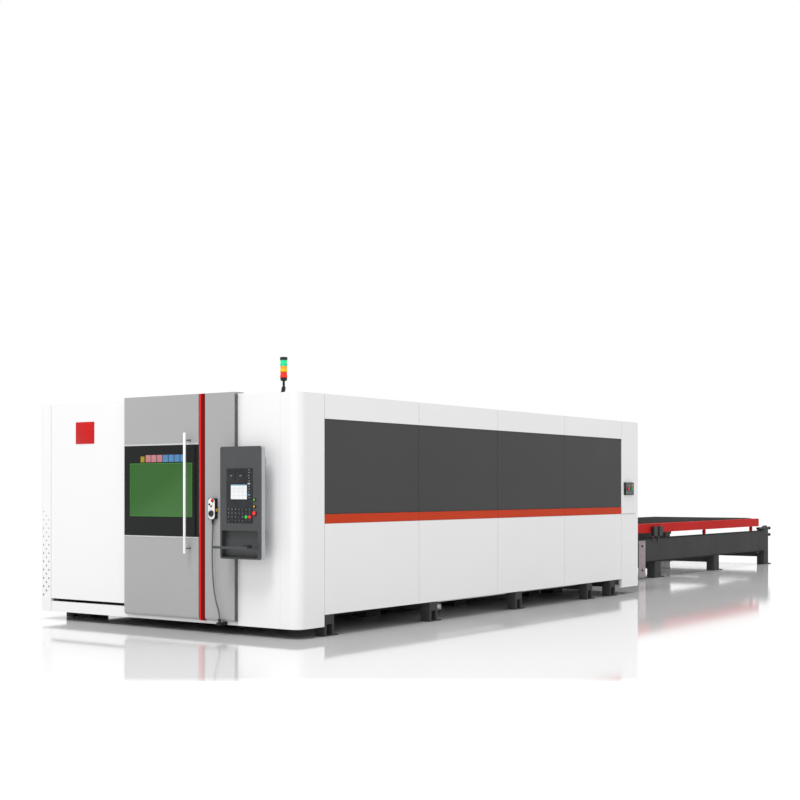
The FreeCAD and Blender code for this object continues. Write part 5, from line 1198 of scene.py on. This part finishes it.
print("bolt tree", len(bolt_tree.nodes), "nodes")

# %% Bolts and screws
link_low, link_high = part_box("link_plates")
console_low, console_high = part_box("console_face")
sensor_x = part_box("sensor_housings")[1].x
LEGS, LEG_BOLT = (7834, 10259, 12684, 15109), 0.295
PEDESTALS, PEDESTAL_BOLT = (400, 2200, 4000, 5800, 6460), 0.182
FLOOR_PLATE, ROOF_STEP = 0.012, 330
link_bolts = [((across, (link_low.y + link_high.y) / 2, height), (way, 0, 0), 0.014)
              for across, way in ((link_high.x, 1), (link_low.x, -1))
              for height in (0.527, 0.146)]
foot_bolts = [((middle + shift, back(start) + LEG_BOLT, FLOOR_PLATE), UP, 0.012)
              for start in LEGS for middle in (-1.340, 0.680) for shift in (-0.04, 0.04)]
foot_bolts += [((side * 1.820, back(start) + PEDESTAL_BOLT, FLOOR_PLATE), UP, 0.010)
               for start in PEDESTALS for side in (-1, 1)]
screws = [((sensor_x, back(start) + along, height), RIGHT, 0.0042)
          for start in (10096, 10294) for along in (0.014, 0.128) for height in (0.694, 0.815)]
screws += [((across, console_low.y, height), OUT, 0.0032)
           for across in (console_low.x + 0.022, console_high.x - 0.022)
           for height in (console_high.z - 0.022, 1.075)]
roof_screws = [((side * 1.790, back(300 + ROOF_STEP * number), column_high.z), UP, 0.0055)
               for side in (-1, 1) for number in range(21)]
socket_head = {"Sides": 20, "Head": 0.5, "Washer": 1.02, "Thick": 0.1, "Crown": 0.5,
               "Rise": -0.3}
for name, places, form, finish, slot in (
        ("link_plate_bolts", link_bolts, {}, black_oxide, "bright_steel"),
        ("foot_bolts", foot_bolts, {"Head": 1.0}, zinc_plate, "zinc"),
        ("cover_screws", screws, socket_head, black_oxide, "black_plastic"),
        ("roof_screws", roof_screws, socket_head | {"Washer": 1.5}, zinc_plate, "zinc")):
    grow(name, bolt_tree, form, finish, seed=spots(places))
print("bolts", len(link_bolts) + len(foot_bolts), "screws", len(screws) + len(roof_screws))

# %% [markdown]
# ## The pointing device
# A computer mouse lies on the tray. Its crowned shell is lofted through rounded sections, with
# the highest point behind the middle, and a wheel sits in it.

# %% Mouse
mouse_low, mouse_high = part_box("pointing_device")
middle, size = (mouse_low + mouse_high) / 2, mouse_high - mouse_low
SECTIONS = [(0.92, 0.94, 0.0), (1.0, 1.0, 0.10), (1.0, 1.0, 0.30), (0.96, 0.97, 0.50),
            (0.88, 0.90, 0.68), (0.76, 0.80, 0.83), (0.58, 0.64, 0.93), (0.34, 0.40, 0.985),
            (0.12, 0.15, 1.0)]
shell = lofted([[(middle.x + x, middle.y + y + 0.006 * share * share,
                  mouse_low.z + size.z * share)
                 for x, y in rounded(size.x * wide, size.y * long, size.x * wide * 0.46, steps=8)]
                for wide, long, share in SECTIONS], 50)
wheel = turned([(0.0, -0.0035), (0.0075, -0.0035), (0.0090, -0.0020), (0.0090, 0.0020),
                (0.0075, 0.0035), (0.0, 0.0035)],
               (middle.x, mouse_low.y + 0.026, mouse_high.z - 0.0105), RIGHT, steps=24)
piece("mouse", join([shell, wheel]), black_abs, "black_plastic", "folding_tray",
      "pointing_device")
print("mouse", [round(v, 3) for v in size])

# %% [markdown]
# ## The pull handle
# The long pull handle is a white enamelled tube with soft ends, held by two grey standoffs
# with a rosette on the door. All of it is turned. It is slimmer than the solid that stands for
# it and a little nearer to the door, as in the photograph.

# %% Handle
HANDLE_AT, HANDLE_RADIUS = (0.504, back(-129)), 0.0138
HANDLE_ENDS, STANDOFFS = (0.7870, 1.9855), (0.837, 1.911)
tall = HANDLE_ENDS[1] - HANDLE_ENDS[0]
tube = turned([
    (0.0, 0.0), (HANDLE_RADIUS - 0.003, 0.0), (HANDLE_RADIUS - 0.0008, 0.0012),
    (HANDLE_RADIUS, 0.0035), (HANDLE_RADIUS, tall - 0.0035),
    (HANDLE_RADIUS - 0.0008, tall - 0.0012), (HANDLE_RADIUS - 0.003, tall), (0.0, tall)],
    (*HANDLE_AT, HANDLE_ENDS[0]), steps=40)
piece("pull_handle", tube, handle_coat, "handle_paint", "operator_door", "door_handle")
leaf_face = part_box("operator_door")[0].y
reach = leaf_face - HANDLE_AT[1]
stands = [turned([(0.0, 0.0), (0.013, 0.0), (0.013, 0.003), (0.011, 0.0045), (0.007, 0.006),
                  (0.007, reach), (0.0, reach)], (HANDLE_AT[0], leaf_face, height), OUT, steps=28)
          for height in STANDOFFS]
standoff_enamel = paint("grey standoff enamel", "6E6F71", "67686A", 0.4, peel_mm=1.0,
                        mottle=5.0)
piece("handle_standoffs", join(stands), standoff_enamel, "handle_paint", "operator_door")
print("handle", round(tall, 3), "m")

# %% [markdown]
# ## Shade strip and seam strip
# A dark grey strip runs up the right return of the fixed panel as painted shade, where that side
# face lies in shadow, and a white strip closes the seam between the right front panel and its
# column, a little below the surface.

# %% Shade strip and seam strip
panel_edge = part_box("fixed_front_panel")[1].x
# painted shade: a dark grey strip on the fixed panel's right return, which lies in shadow
panel_edge_painted_shade = paint("grey painted shade on panel edge", "5C5D5E", "535455", 0.6, peel_mm=1.5, peel=0.15,
                    mottle=8.0)
SHADE_STRIP_LOW, SHADE_STRIP_HIGH, SHADE_STRIP_THICK = 0.140, 2.350, 0.0015
piece("panel_edge_shade_strip", blocks([((panel_edge, back(-46), SHADE_STRIP_LOW),
                                  (panel_edge + SHADE_STRIP_THICK, back(-6), SHADE_STRIP_HIGH))], 0.0005),
      panel_edge_painted_shade, "black_plastic")
seam_from, seam_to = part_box("front_panels")[1].x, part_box("right_column")[0].x
piece("seam_strip", blocks([((seam_from, back(1.5), column_low.z),
                             (seam_to, back(12), column_high.z))], 0.0), white_coat,
      "white_paint")
print("seam", round(seam_to - seam_from, 4), "m wide")

# %% [markdown]
# ## Flanges, buffers and ramps of the changer
# The changer's beams are channels, so a flange edge runs along their top and bottom. Thin strips
# mark these edges in an enamel darker than the beams: painted shade along the flanges. Rubber
# buffers stand at the far end, thick sleeves with a rounded nose, and each end stop has a ramp in
# front of it that centres the pallet's wheels.

# %% Flanges
BEAM_LOW, BEAM_TOP, BEAM_START, BEAM_END = 0.265, 0.646, back(7330), back(15109)
FLANGE = 0.018
table_low, table_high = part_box("changer_frame")
# painted shade: the flange strips are darker than the beams' enamel
flange_painted_shade = paint("channel edge enamel, painted shade", "1E1F20", "1A1B1C", 0.5, peel_mm=3.0,
                      peel=0.08, mottle=1.4, spec=0.06)
edges = [((low, BEAM_START, bottom), (high, BEAM_END, bottom + FLANGE))
         for low, high in ((table_high.x, table_high.x + 0.004), (table_low.x - 0.004, table_low.x))
         for bottom in (BEAM_LOW, BEAM_TOP - FLANGE)]
piece("beam_flanges", blocks(edges), flange_painted_shade, "frame_paint")
print("flanges", len(edges))

# %% Buffers and ramps
BUFFER = [(0.0, 0.0), (0.031, 0.0), (0.031, 0.010), (0.027, 0.014), (0.027, 0.180),
          (0.0295, 0.186), (0.0295, 0.196), (0.025, 0.2035), (0.0, 0.2065)]
RAMP = [(15000, BEAM_TOP), (15329, BEAM_TOP), (15329, 0.735), (15262, 0.735)]
buffer_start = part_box("end_stops")[1].y - BUFFER[-1][1]
SIDES = (-1.360, 0.700)
sleeves = [turned(BUFFER, (across, buffer_start, height), (0, 1, 0), steps=24)
           for across in SIDES for height in (BEAM_TOP + 0.035, BEAM_TOP - 0.090)]
ramps = [lofted([[(x, back(y), z) for y, z in RAMP] for x in (across - 0.028, across + 0.028)], 20)
         for across in SIDES]
piece("buffer_sleeves", join(sleeves), rubber, "black_plastic")
piece("stop_ramps", join(ramps), machine_coat, "frame_paint")
print("buffers", len(sleeves), "ramps", len(ramps))
